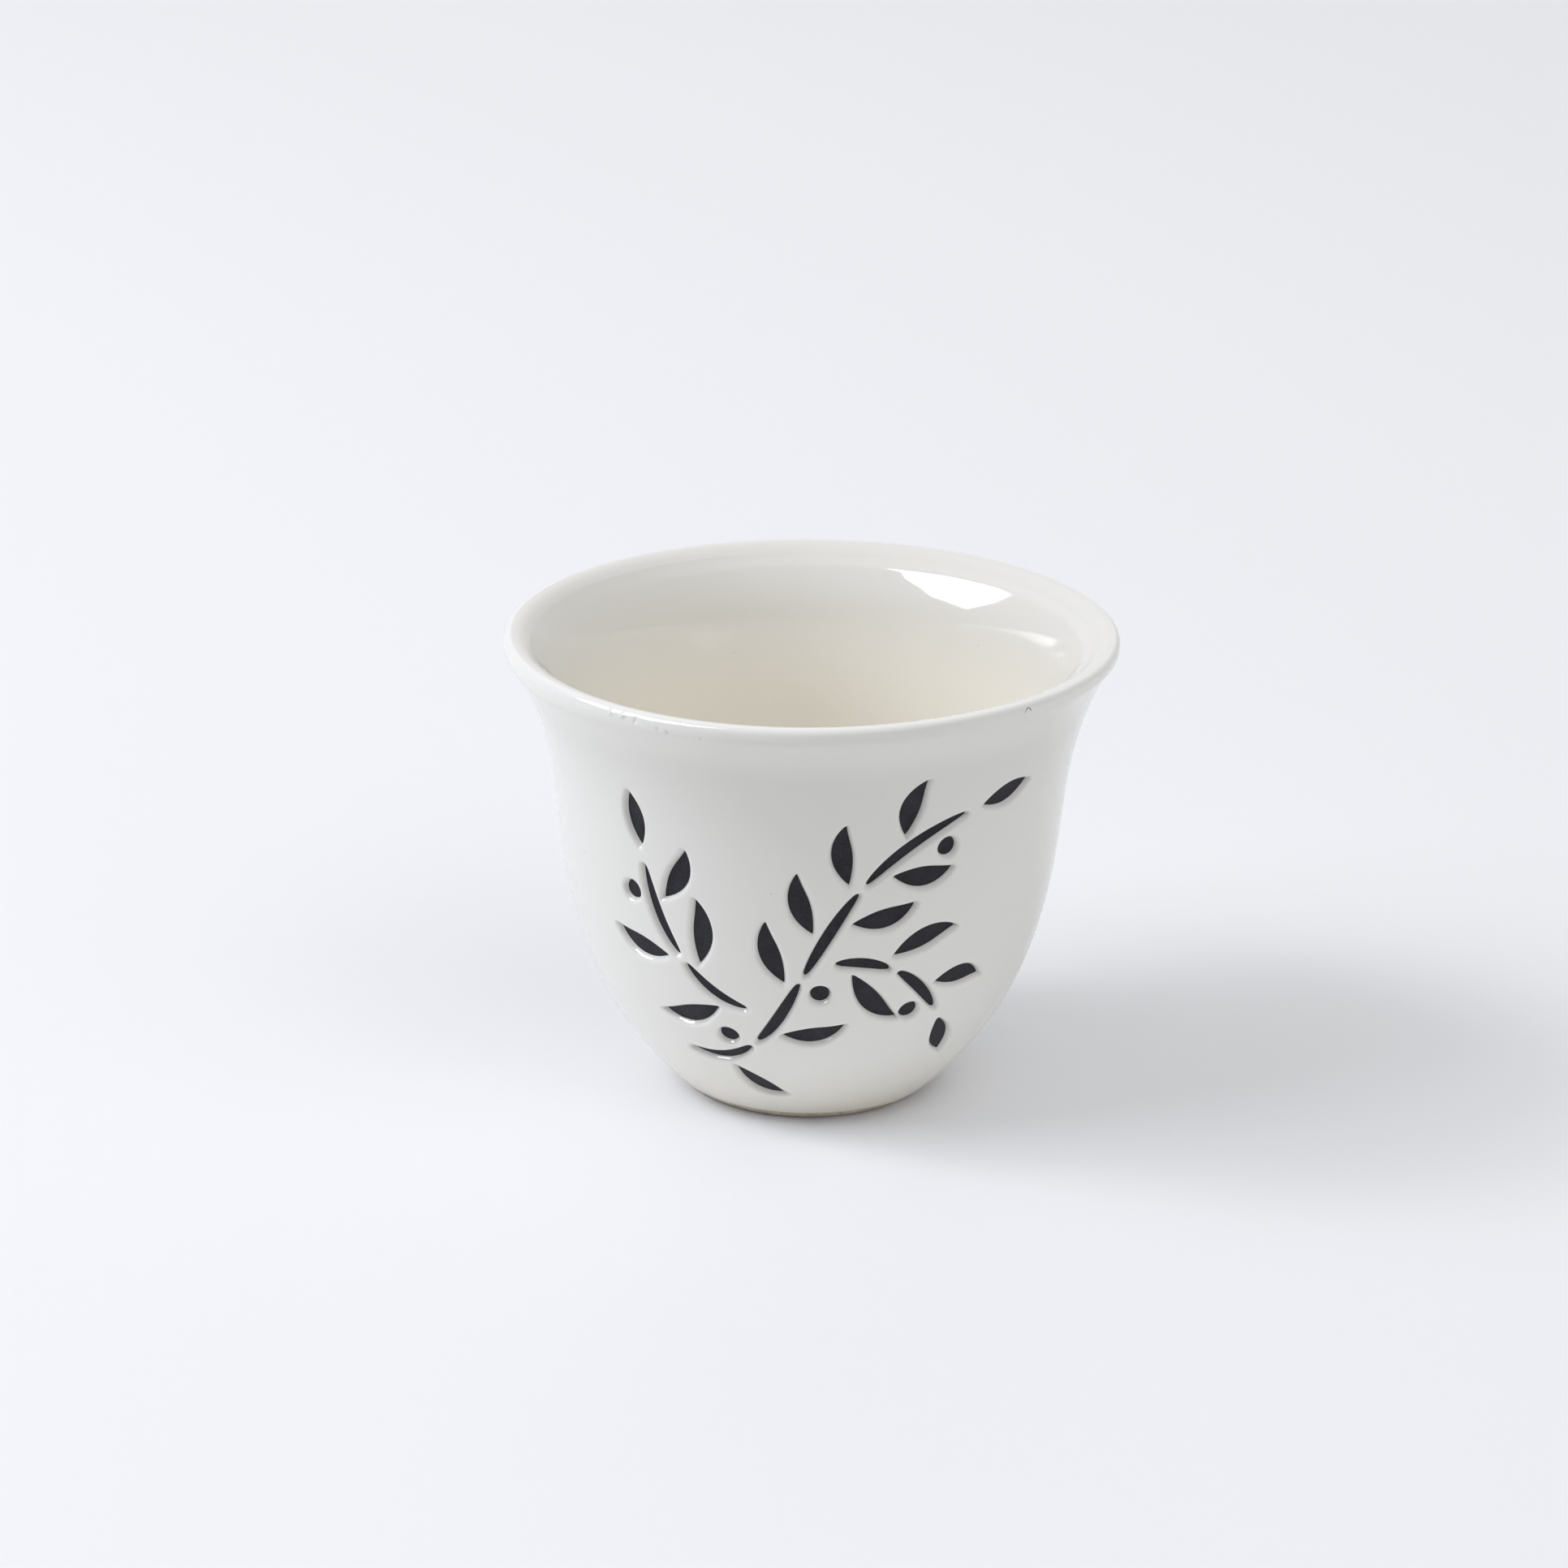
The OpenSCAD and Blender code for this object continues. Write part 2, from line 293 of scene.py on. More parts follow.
    def wall_spread(self, h: float) -> float:
        """Outward run of the glazed outside for each unit of height, at a height."""
        c, share = self._wall(h)
        d = curve_run(c, share)[0]
        return float(d[0] / d[1])

    def _wall(self, h: float) -> tuple[np.ndarray, float]:
        """The wall's curve at a height, and the share along it."""
        if h < self.belly_h:
            return self.bowl_curve, h / self.belly_h
        return self.flare_curve, (h - self.belly_h) / (self.crease_h - self.belly_h)


@dataclass(frozen=True)
class LipSway:
    """How the hand-finished lip rises and falls round the cup, and its crease with it."""

    form: CupForm
    drop: float = 0.46
    lean: float = 0.13
    hump: float = 0.38
    hump_at: float = 35.0
    hump_reach: float = 28.0
    crease_lean: float = 0.5
    crease_reach: float = 9.0

    def lift(self, around: np.ndarray, height: np.ndarray) -> np.ndarray:
        """Rise of the surface at an angle and height.

        Args:
            around: Angles about the axis, from the front towards the right.
            height: Heights of the level form.

        Returns:
            The rise of each point, in millimetres.
        """
        away = (np.degrees(around) - self.hump_at + 180) % 360 - 180
        hump = self.hump * np.exp(-0.5 * (away / self.hump_reach) ** 2)
        top = -self.drop + self.lean * np.sin(around) + hump
        crease = self.crease_lean * np.sin(around)
        low = self.form.crease_h
        share = np.clip((height - low) / (self.form.cup_h - self.form.lip_crown - low), 0, 1)
        above = crease + (top - crease) * share * share * (3 - 2 * share)
        fade = np.clip(1 - (low - height) / self.crease_reach, 0, 1)
        return np.where(height > low, above, crease * fade * fade * (3 - 2 * fade))


@dataclass(frozen=True)
class TurnedSurface:
    """A profile turned about the cup's axis, with the lip's rise and fall."""

    form: CupForm
    line: np.ndarray
    sway: LipSway

    @property
    def run(self) -> np.ndarray:
        """Distance along the profile at each of its points."""
        return distances(self.line)

    def points(self, around: np.ndarray, up: np.ndarray, depth: np.ndarray | float = 0.0) -> np.ndarray:
        """Points of the surface.

        Args:
            around: Angles about the axis, from the front towards the right.
            up: Distances along the profile.
            depth: How far under the surface each point lies.

        Returns:
            The points, in millimetres.
        """
        run, across = self.run, right_of(unit(np.gradient(self.line, axis=0)))
        r = np.interp(up, run, self.line[:, 0]) - depth * np.interp(up, run, across[:, 0])
        level = np.interp(up, run, self.line[:, 1])
        z = level - depth * np.interp(up, run, across[:, 1]) + self.sway.lift(around, level)
        return np.stack([r * np.sin(around), -r * np.cos(around), z], axis=1)

    def nearest(self, r: np.ndarray, z: np.ndarray) -> tuple[np.ndarray, np.ndarray]:
        """Distance along the level profile of the points nearest to given ones, and how far they are."""
        gaps = np.hypot(r[:, None] - self.line[None, :, 0], z[:, None] - self.line[None, :, 1])
        best = gaps.argmin(axis=1)
        return self.run[best], gaps[np.arange(len(r)), best]

    def normals(
        self, around: np.ndarray, up: np.ndarray, depth: Callable | None = None, step: float = 0.03
    ) -> np.ndarray:
        """Outward normals of the surface, or of a face that lies under it.

        Args:
            around: Angles about the axis.
            up: Distances along the profile.
            depth: The face's depth at an angle and a distance, or None for the surface itself.
            step: How far from each point the slopes are read.

        Returns:
            One normal for each point.
        """
        turn = step / self.form.belly_r
        above, below = np.minimum(up + step, self.run[-1]), np.maximum(up - step, 0)

        def spot(a: np.ndarray, u: np.ndarray) -> np.ndarray:
            """Points of the face."""
            return self.points(a, u, depth(a, u) if depth else 0.0)

        side = spot(around + turn, up) - spot(around - turn, up)
        return unit(np.cross(side, spot(around, above) - spot(around, below)))


def distances(points: np.ndarray) -> np.ndarray:
    """Distance along a line of points, at each of them."""
    return np.concatenate([[0], np.cumsum(np.linalg.norm(np.diff(points, axis=0), axis=1))])


def even(points: np.ndarray, count: int) -> np.ndarray:
    """Points evenly spaced along a line of points.

    Args:
        points: The line.
        count: How many points are wanted.

    Returns:
        The new line, with the same ends.
    """
    run = distances(points)
    at = np.linspace(0, run[-1], count)
    return np.stack([np.interp(at, run, points[:, k]) for k in range(points.shape[1])], axis=1)


def soften(points: np.ndarray, reach: float) -> np.ndarray:
    """Rounds the corners of an evenly spaced line, with its ends kept.

    Args:
        points: The line.
        reach: Width of the rounding, in the line's own unit.

    Returns:
        The softened line.
    """
    step = np.linalg.norm(np.diff(points, axis=0), axis=1).mean()
    half = max(1, int(3 * reach / step))
    weights = np.exp(-0.5 * (np.arange(-half, half + 1) * step / reach) ** 2)
    weights /= weights.sum()
    before = 2 * points[0] - points[half:0:-1]
    after = 2 * points[-1] - points[-2 : -half - 2 : -1]
    full = np.vstack([before, points, after])
    return np.stack([np.convolve(full[:, k], weights, "valid") for k in range(points.shape[1])], axis=1)


def moved_in(points: np.ndarray, depth: float) -> np.ndarray:
    """A line of points moved to the left of its run by a depth, which is into the solid."""
    return points - depth * right_of(unit(np.gradient(points, axis=0)))


# The sprig


@dataclass(frozen=True)
class Stroke:
    """One engraved stroke: a centre line in the plane that touches the wall, and a width that swells."""

    name: str
    place: tuple[float, float]
    line: np.ndarray
    width: float
    fullness: float
    is_round: bool = False

    def outline(self, steps: int) -> np.ndarray:
        """The stroke's closed outline, anticlockwise, in millimetres.

        Args:
            steps: Points along each side.

        Returns:
            The outline's points.
        """
        t, half = self.sides(steps)
        centre, across = curve(self.line, t), right_of(unit(curve_run(self.line, t)))
        right, left = centre + half[:, None] * across, centre - half[:, None] * across
        return np.vstack([right, left[-2:0:-1]])

    def sides(self, steps: int) -> tuple[np.ndarray, np.ndarray]:
        """Shares along the centre line, and the half width at each."""
        angle = np.linspace(0, math.pi, steps)
        t = (1 - np.cos(angle)) / 2
        swell = np.sin(angle) if self.is_round else np.sin(np.pi * t).clip(0) ** self.fullness
        return t, self.width / 2 * swell


@dataclass(frozen=True)
class Sprig:
    """Where the strokes of the sprig lie on the wall, as the solids have them."""

    form: CupForm
    stem_w: float = 1.3
    stem_gap: float = 1.2
    leaf_l: float = 8.6
    leaf_w: float = 2.3
    leaf_land: float = 0.85
    leaf_angle: float = 42
    leaf_taper: float = 0.28
    leaf_bend: float = 0.3
    berry_d: float = 2.1
    stem_fullness: float = 0.4
    leaf_fullness: float = 0.85
    shoots: tuple = (
        ((-0.62, 0.20), (0.08, 0.13), (-0.14, 0.70), (0.66, 0.80)),
        ((-0.27, 0.34), (-0.50, 0.37), (-0.66, 0.50), (-0.70, 0.68)),
        ((0.11, 0.465), (0.29, 0.48), (0.48, 0.42), (0.62, 0.30)),
    )
    shoot_names: tuple[str, ...] = ("main", "left", "right")
    stem_counts: tuple[int, ...] = (4, 2, 2)
    leaf_shares: tuple = (
        (0.12, 0.32, -0.46, -0.60, 0.66, -0.73, 0.80, -0.87),
        (-0.16, 0.40, -0.52, 0.80),
        (0.14, -0.40, -0.78),
    )
    berry_shares: tuple = ((0, 0.17, -1), (0, 0.475, 1), (0, 0.93, 1), (1, 0.84, -1), (2, 0.80, 1))

    def strokes(self) -> list[Stroke]:
        """Every stroke of the sprig, named as its inlay's node is."""
        made: list[Stroke] = []
        for k, shoot_name in enumerate(self.shoot_names):
            for i in range(self.stem_counts[k]):
                name = f"{shoot_name}_stem_inlay_{i + 1}"
                made.append(self._stroke(name, self._stem_line(k, i), self.stem_w, self.stem_fullness))
            for j in range(len(self.leaf_shares[k]) + 1):
                name = f"{shoot_name}_leaf_inlay_{j + 1}"
                made.append(self._stroke(name, self._leaf_line(k, j), self.leaf_w, self.leaf_fullness))
        for i, berry in enumerate(self.berry_shares):
            made.append(self._berry(f"berry_inlay_{i + 1}", berry))
        return made

    def _shoot(self, k: int) -> np.ndarray:
        """A shoot's control points on the unrolled wall, in millimetres."""
        return np.array(self.shoots[k]) * [self.form.belly_r, self.form.crease_h]

    def _stem_line(self, k: int, i: int) -> np.ndarray:
        """Centre line of a stem stroke: a stretch of its shoot."""
        c, n = self._shoot(k), self.stem_counts[k]
        gap = self.stem_gap / np.linalg.norm(curve_run(c, (i + 1) / n)[0])
        t0, t1 = i / n, (i + 1) / n - gap
        third = (t1 - t0) / 3
        p0, p1 = curve(c, t0)[0], curve(c, t1)[0]
        return np.array([p0, p0 + third * curve_run(c, t0)[0], p1 - third * curve_run(c, t1)[0], p1])

    def _leaf_line(self, k: int, j: int) -> np.ndarray:
        """Centre line of a leaf, from its foot beside the stem to its tip."""
        c, shares = self._shoot(k), self.leaf_shares[k]
        t, side = (abs(shares[j]), math.copysign(1, shares[j])) if j < len(shares) else (1.0, 0)
        along = unit(curve_run(c, t)[0])
        out = turned(along, -side * self.leaf_angle)
        length = self.leaf_l * (1 - self.leaf_taper * t)
        foot = curve(c, t)[0] + side * (self.stem_w / 2 + self.leaf_land) * right_of(along)
        foot = foot + out * self.leaf_land * (side == 0)
        bent = turned(out, -side * self.leaf_angle * self.leaf_bend)
        return np.array([foot, foot + length / 3 * bent, foot + length * 2 / 3 * bent, foot + length * out])

    def _stroke(self, name: str, line: np.ndarray, width: float, fullness: float) -> Stroke:
        """A stroke whose centre line is laid into the plane that touches the wall at its middle."""
        place = curve(line, 0.5)[0]
        stretch = math.hypot(1, self.form.wall_spread(place[1]))
        flat = [
            [(p[0] - place[0]) * self.form.wall_r(p[1]) / self.form.belly_r, (p[1] - place[1]) * stretch]
            for p in line
        ]
        return Stroke(name, (float(place[0]), float(place[1])), np.array(flat), width, fullness)

    def _berry(self, name: str, berry: tuple[int, float, int]) -> Stroke:
        """A round stroke beside a stem."""
        k, share, side = berry
        reach = self.stem_w / 2 + self.leaf_land + self.berry_d / 2
        c = self._shoot(k)
        place = curve(c, share)[0] + side * reach * right_of(unit(curve_run(c, share)[0]))
        ends = np.linspace(-self.berry_d / 2, self.berry_d / 2, 4)
        line = np.stack([ends, np.zeros(4)], axis=1)
        return Stroke(name, (float(place[0]), float(place[1])), line, self.berry_d, 1.0, True)


@dataclass
class WallFrame:
    """The plane that touches the wall at a stroke's middle."""

    form: CupForm
    stroke: Stroke
    turn: Matrix = field(init=False)
    origin: np.ndarray = field(init=False)
    rounds: int = 7
    pull: float = 0.9

    def __post_init__(self) -> None:
        """Works out the plane's turn and origin."""
        s, h = self.stroke.place
        around = Matrix.Rotation(s / self.form.belly_r, 3, "Z")
        tilt = Matrix.Rotation(math.pi / 2 + math.atan(self.form.wall_spread(h)), 3, "X")
        self.turn = around @ tilt
        self.origin = np.array(around @ Vector((0, -self.form.wall_r(h), h)))

    @property
    def axes(self) -> np.ndarray:
        """The plane's three axes as rows: along, up and out of the wall."""
        return np.array(self.turn.transposed())

    def local(self, points: np.ndarray) -> np.ndarray:
        """Points in the plane's own coordinates."""
        return (points - self.origin) @ self.axes.T

    def on_wall(self, flat: np.ndarray) -> tuple[np.ndarray, np.ndarray]:
        """Carries flat points square to the plane onto the glazed outside.

        Args:
            flat: Points in the plane, in millimetres.

        Returns:
            The angle about the cup's axis and the height of each.
        """
        base = self.origin + flat @ self.axes[:2]
        out, lift = self.axes[2], np.zeros(len(flat))
        for _ in range(self.rounds):
            p = base + lift[:, None] * out
            wall = np.array([self.form.wall_r(float(h)) for h in p[:, 2]])
            lift -= (np.hypot(p[:, 0], p[:, 1]) - wall) * self.pull
        p = base + lift[:, None] * out
        return np.arctan2(p[:, 0], -p[:, 1]), p[:, 2]


def signed_distance(points: np.ndarray, outline: np.ndarray) -> np.ndarray:
    """Distance from points to a closed outline, negative inside it.

    Args:
        points: Flat points.
        outline: The outline's corners.

    Returns:
        One distance for each point.
    """
    a, b = outline, np.roll(outline, -1, axis=0)
    edge = b - a
    rel = points[:, None] - a[None]
    share = np.clip((rel * edge).sum(-1) / (edge**2).sum(-1).clip(1e-12), 0, 1)
    gap = np.linalg.norm(rel - share[..., None] * edge, axis=-1).min(axis=1)
    above = (a[None, :, 1] > points[:, None, 1]) != (b[None, :, 1] > points[:, None, 1])
    with np.errstate(divide="ignore", invalid="ignore"):
        cross_x = a[:, 0] + (points[:, None, 1] - a[:, 1]) * edge[:, 0] / edge[:, 1]
    inside = (above & (points[:, None, 0] < cross_x)).sum(axis=1) % 2 == 1
    return np.where(inside, -gap, gap)


# Meshes


def make_piece(
    name: str, points: np.ndarray, faces: list[tuple[int, ...]], normals: np.ndarray | None = None
) -> bpy.types.Object:
    """A smooth mesh object at the origin.

    Args:
        name: The object's name.
        points: Its points in millimetres.
        faces: Its faces.
        normals: A normal for each point, or None for Blender's own.

    Returns:
        The new object.
    """
    mesh = bpy.data.meshes.new(name)
    mesh.from_pydata((points * MM).tolist(), [], [tuple(int(i) for i in f) for f in faces])
    mesh.validate()
    mesh.polygons.foreach_set("use_smooth", [True] * len(mesh.polygons))
    if normals is not None:
        mesh.normals_split_custom_set_from_vertices(unit(normals).tolist())
    return placed(name, mesh)


def hand_over(piece: bpy.types.Object, nodes: list[str]) -> None:
    """Fits a finished piece to the frame.

    Args:
        piece: The finished object.
        nodes: The solids that it stands for.
    """
    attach(piece, BODY)
    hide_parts(*nodes)
    LOG.info("%s: %d faces, stands for %s", piece.name, len(piece.data.polygons), ", ".join(nodes))


class TreeBuilder:
    """Puts nodes into a node tree and joins them."""

    def __init__(self, tree: bpy.types.NodeTree) -> None:
        """Keeps the tree."""
        self.tree = tree

    def node(self, kind: str, inputs: dict | None = None, **settings: object) -> bpy.types.Node:
        """Adds a node.

        Args:
            kind: The node's type.
            inputs: Values or sockets, by the name or number of the input.
            settings: The node's own settings.

        Returns:
            The new node.
        """
        made = self.tree.nodes.new(kind)
        for key, value in settings.items():
            setattr(made, key, value)
        self.fill(made, inputs or {})
        return made

    def fill(self, node: bpy.types.Node, inputs: dict) -> None:
        """Joins or sets several inputs of a node, by their name or number."""
        for key, value in inputs.items():
            self.put(node.inputs[key], value)

    def put(self, socket: Socket, value: object) -> None:
        """Joins a socket to another, or sets its value."""
        if isinstance(value, Socket):
            self.tree.links.new(value, socket)
        else:
            socket.default_value = value

    def math(self, operation: str, *values: object, clamp: bool = False) -> Socket:
        """Result of a Math node."""
        made = self.node("ShaderNodeMath", operation=operation, use_clamp=clamp)
        for socket, value in zip(made.inputs, values):
            self.put(socket, value)
        return made.outputs[0]

    def plus(self, *values: object) -> Socket:
        """Sum of two values."""
        return self.math("ADD", *values)

    def minus(self, *values: object, clamp: bool = False) -> Socket:
        """Difference of two values."""
        return self.math("SUBTRACT", *values, clamp=clamp)

    def times(self, *values: object, clamp: bool = False) -> Socket:
        """Product of two values."""
        return self.math("MULTIPLY", *values, clamp=clamp)

    def over(self, *values: object, clamp: bool = False) -> Socket:
        """Quotient of two values."""
        return self.math("DIVIDE", *values, clamp=clamp)

    def mix(self, factor: object, first: object, second: object) -> Socket:
        """A blend of two colours."""
        inputs = {"Factor": factor, "A": first, "B": second}
        return self.node("ShaderNodeMix", inputs, data_type="RGBA").outputs["Result"]

    def place(self) -> Socket:
        """Object coordinates."""
        return self.node("ShaderNodeTexCoord").outputs["Object"]

    def parts(self, vector: Socket) -> bpy.types.NodeOutputs:
        """A vector's X, Y and Z."""
        return self.node("ShaderNodeSeparateXYZ", {0: vector}).outputs

    def noise(self, place: object, scale: object, detail: float) -> bpy.types.NodeOutputs:
        """Outputs of a noise texture."""
        return self.node("ShaderNodeTexNoise", {"Vector": place, "Scale": scale, "Detail": detail}).outputs

    def seen_directly(self, path: bpy.types.NodeOutputs) -> Socket:
        """One for rays that show the surface itself, by the outputs of a Light Path node."""
        seen = self.math("MAXIMUM", path["Is Camera Ray"], path["Is Glossy Ray"])
        return self.math("MAXIMUM", seen, path["Is Transmission Ray"])

    def unit_grid(self, columns: object, rows: object) -> Socket:
        """A flat grid of unit size round the origin."""
        inputs = {"Size X": 1.0, "Size Y": 1.0, "Vertices X": columns, "Vertices Y": rows}
        return self.node("GeometryNodeMeshGrid", inputs).outputs["Mesh"]

    def vector(self, operation: str, *values: object) -> Socket:
        """Result of a Vector Math node."""
        made = self.node("ShaderNodeVectorMath", operation=operation)
        if operation == "SCALE":
            self.put(made.inputs[0], values[0])
            self.put(made.inputs["Scale"], values[1])
        else:
            for socket, value in zip(made.inputs, values):
                self.put(socket, value)
        return made.outputs["Value" if operation in ("LENGTH", "DOT_PRODUCT", "DISTANCE") else "Vector"]


def new_tree(name: str, kind: str, inputs: dict[str, str], outputs: dict[str, str]) -> bpy.types.NodeTree:
    """A node tree with named sockets.

    Args:
        name: The tree's name.
        kind: GeometryNodeTree or ShaderNodeTree.
        inputs: Socket type of each named input.
        outputs: Socket type of each named output.

    Returns:
        The new tree.
    """
    tree = bpy.data.node_groups.new(name, kind)
    for label, socket in inputs.items():
        tree.interface.new_socket(name=label, in_out="INPUT", socket_type=socket)
    for label, socket in outputs.items():
        tree.interface.new_socket(name=label, in_out="OUTPUT", socket_type=socket)
    return tree


def grown(tree: bpy.types.NodeTree, name: str, values: dict[str, object]) -> bpy.types.Mesh:
    """The plain mesh that a geometry tree makes.

    Args:
        tree: The geometry tree.
        name: Name of the mesh.
        values: A value for each named input.

    Returns:
        The mesh, with the tree's materials.
    """
    holder = placed(f"{name}_holder", bpy.data.meshes.new(f"{name}_holder"))
    maker = holder.modifiers.new("maker", "NODES")
    maker.node_group = tree
    sockets = {
        item.name: item.identifier
        for item in tree.interface.items_tree
        if item.item_type == "SOCKET" and item.in_out == "INPUT"
    }
    for label, value in values.items():
        maker[sockets[label]] = value
    holder.update_tag()
    depsgraph = bpy.context.evaluated_depsgraph_get()
    depsgraph.update()
    made = bpy.data.objects.new(name, bpy.data.meshes.new_from_object(holder.evaluated_get(depsgraph)))
    holder.modifiers.clear()
    bpy.data.objects.remove(holder)
    mesh = made.data
    mesh.name = name
    bpy.data.objects.remove(made)
    return mesh


def mesh_points(mesh: bpy.types.Mesh) -> np.ndarray:
    """A mesh's points in millimetres."""
    flat = np.empty(len(mesh.vertices) * 3, np.float32)
    mesh.vertices.foreach_get("co", flat)
    return flat.reshape(-1, 3).astype(float) / MM


def placed(name: str, data: bpy.types.ID) -> bpy.types.Object:
    """An object of the scene, at the origin, that shows a mesh or a camera."""
    made = bpy.data.objects.new(name, data)
    bpy.context.scene.collection.objects.link(made)
    return made


# Geometry trees

TURNED_WELD = 1e-7
STROKE_WELD = 1e-6
CAST_FROM = 3 * MM
CAST_REACH = 12 * MM


def turned_form_tree() -> bpy.types.NodeTree:
    """A tree that turns a profile about the cup's axis.

    Returns:
        The tree, with the inputs Profile, Rows, Sides and Finish.
    """
    inputs = {
        "Profile": "NodeSocketObject",
        "Rows": "NodeSocketInt",
        "Sides": "NodeSocketInt",
        "Finish": "NodeSocketMaterial",
    }
    tree = new_tree("turned_form", "GeometryNodeTree", inputs, {"Geometry": "NodeSocketGeometry"})
    b = TreeBuilder(tree)
    given = b.node("NodeGroupInput").outputs
    profile = b.node("GeometryNodeObjectInfo", {"Object": given["Profile"]}, transform_space="ORIGINAL")
    grid = b.unit_grid(b.plus(given["Sides"], 1), given["Rows"])
    place = b.parts(b.node("GeometryNodeInputPosition").outputs[0])
    angle = b.times(b.plus(place["X"], 0.5), 2 * math.pi)
    row = b.math("ROUND", b.times(b.plus(place["Y"], 0.5), b.minus(given["Rows"], 1)))
    taken = b.node(
        "GeometryNodeSampleIndex",
        {"Geometry": profile.outputs["Geometry"], "Index": row},
        data_type="FLOAT_VECTOR",
        domain="POINT",
    )
    b.put(taken.inputs["Value"], b.node("GeometryNodeInputPosition").outputs[0])
    point = b.parts(taken.outputs[0])
    x, y = b.times(point["X"], b.math("COSINE", angle)), b.times(point["X"], b.math("SINE", angle))
    spot = b.node("ShaderNodeCombineXYZ", {"X": x, "Y": y, "Z": point["Z"]})
    shaped = b.node("GeometryNodeSetPosition", {"Geometry": grid, "Position": spot.outputs[0]})
    closed = b.node("GeometryNodeMergeByDistance", {"Geometry": shaped.outputs[0], "Distance": TURNED_WELD})
    smooth = b.node("GeometryNodeSetShadeSmooth", {0: closed.outputs[0]})
    finish_tree(b, smooth.outputs[0], given["Finish"])
    return tree


def laid_stroke_tree() -> bpy.types.NodeTree:
    """A tree that lays the charcoal of one stroke on the stroke's floor.

    Returns:
        The tree, with inputs for the centre line, the width, the place on the wall and the floor to lie on.
    """
    kinds = {
        "NodeSocketVector": ("Start", "First Handle", "Second Handle", "End", "Place", "Turn", "Out"),
        "NodeSocketFloat": ("Width", "Fullness", "Round", "Thickness"),
        "NodeSocketInt": ("Steps", "Across"),
        "NodeSocketObject": ("Floor",),
        "NodeSocketMaterial": ("Finish",),
    }
    inputs = {label: kind for kind, labels in kinds.items() for label in labels}
    tree = new_tree("laid_stroke", "GeometryNodeTree", inputs, {"Geometry": "NodeSocketGeometry"})
    b = TreeBuilder(tree)
    given = b.node("NodeGroupInput").outputs
    flat = flat_stroke(b, given)
    held = b.node(
        "GeometryNodeTransform", {"Geometry": flat, "Translation": given["Place"], "Rotation": given["Turn"]}
    )
    floor = b.node("GeometryNodeObjectInfo", {"Object": given["Floor"]}, transform_space="ORIGINAL")
    above = b.vector("SCALE", given["Out"], CAST_FROM)
    cast = b.node(
        "GeometryNodeRaycast",
        {
            "Target Geometry": floor.outputs["Geometry"],
            "Source Position": b.vector("ADD", b.node("GeometryNodeInputPosition").outputs[0], above),
            "Ray Direction": b.vector("SCALE", given["Out"], -1.0),
            "Ray Length": CAST_REACH,
        },
    ).outputs
    laid = b.node(
        "GeometryNodeSetPosition",
        {"Geometry": held.outputs[0], "Selection": cast["Is Hit"], "Position": cast["Hit Position"]},
    )
    joined = b.node("GeometryNodeMergeByDistance", {"Geometry": laid.outputs[0], "Distance": STROKE_WELD})
    lift = {"Offset": given["Out"], "Offset Scale": given["Thickness"], "Individual": False}
    raised = b.node("GeometryNodeExtrudeMesh", {"Mesh": joined.outputs[0], **lift}, mode="FACES")
    under = b.node("GeometryNodeFlipFaces", {"Mesh": joined.outputs[0]})
    both = b.node("GeometryNodeJoinGeometry")
    tree.links.new(raised.outputs["Mesh"], both.inputs[0])
    tree.links.new(under.outputs[0], both.inputs[0])
    closed = b.node("GeometryNodeMergeByDistance", {"Geometry": both.outputs[0], "Distance": STROKE_WELD})
    finish_tree(b, closed.outputs[0], given["Finish"])
    return tree


def flat_stroke(b: TreeBuilder, given: bpy.types.NodeOutputs) -> Socket:
    """The sheet of one stroke in its own plane, from its centre line and its swelling width.

    Args:
        b: Builder of the tree laid_stroke.
        given: The tree's inputs.

    Returns:
        The flat sheet.
    """
    place = b.parts(b.node("GeometryNodeInputPosition").outputs[0])
    angle = b.times(b.plus(place["X"], 0.5), math.pi)
    t = b.times(b.minus(1.0, b.math("COSINE", angle)), 0.5)
    rest = b.minus(1.0, t)

    def blend(weights: list, vectors: list) -> Socket:
        """Sum of vectors, each times its weight."""
        total = b.vector("SCALE", vectors[0], weights[0])
        for weight, vector in zip(weights[1:], vectors[1:]):
            total = b.vector("ADD", total, b.vector("SCALE", vector, weight))
        return total

    t2, r2, tr = b.times(t, t), b.times(rest, rest), b.times(t, rest)
    ends = [given[label] for label in ("Start", "First Handle", "Second Handle", "End")]
    inner = [b.times(b.times(tr, rest), 3.0), b.times(b.times(tr, t), 3.0)]
    centre = blend([b.times(r2, rest), *inner, b.times(t2, t)], ends)
    legs = [b.vector("SUBTRACT", after, before) for before, after in zip(ends, ends[1:])]
    run = b.vector("NORMALIZE", blend([r2, b.times(tr, 2.0), t2], legs))
    across = b.vector("CROSS_PRODUCT", run, (0.0, 0.0, 1.0))
    sine = b.math("MAXIMUM", b.math("SINE", b.times(t, math.pi)), 0.0)
    leaf = b.math("POWER", sine, given["Fullness"])
    disc = b.math("MAXIMUM", b.math("SINE", angle), 0.0)
    shapes = {"Factor": given["Round"], "A": leaf, "B": disc}
    swell = b.node("ShaderNodeMix", shapes, data_type="FLOAT").outputs[0]
    side = b.times(b.times(place["Y"], -1.0), b.times(given["Width"], swell))
    spot = b.vector("ADD", centre, b.vector("SCALE", across, side))
    grid = b.unit_grid(given["Steps"], given["Across"])
    return b.node("GeometryNodeSetPosition", {"Geometry": grid, "Position": spot}).outputs[0]


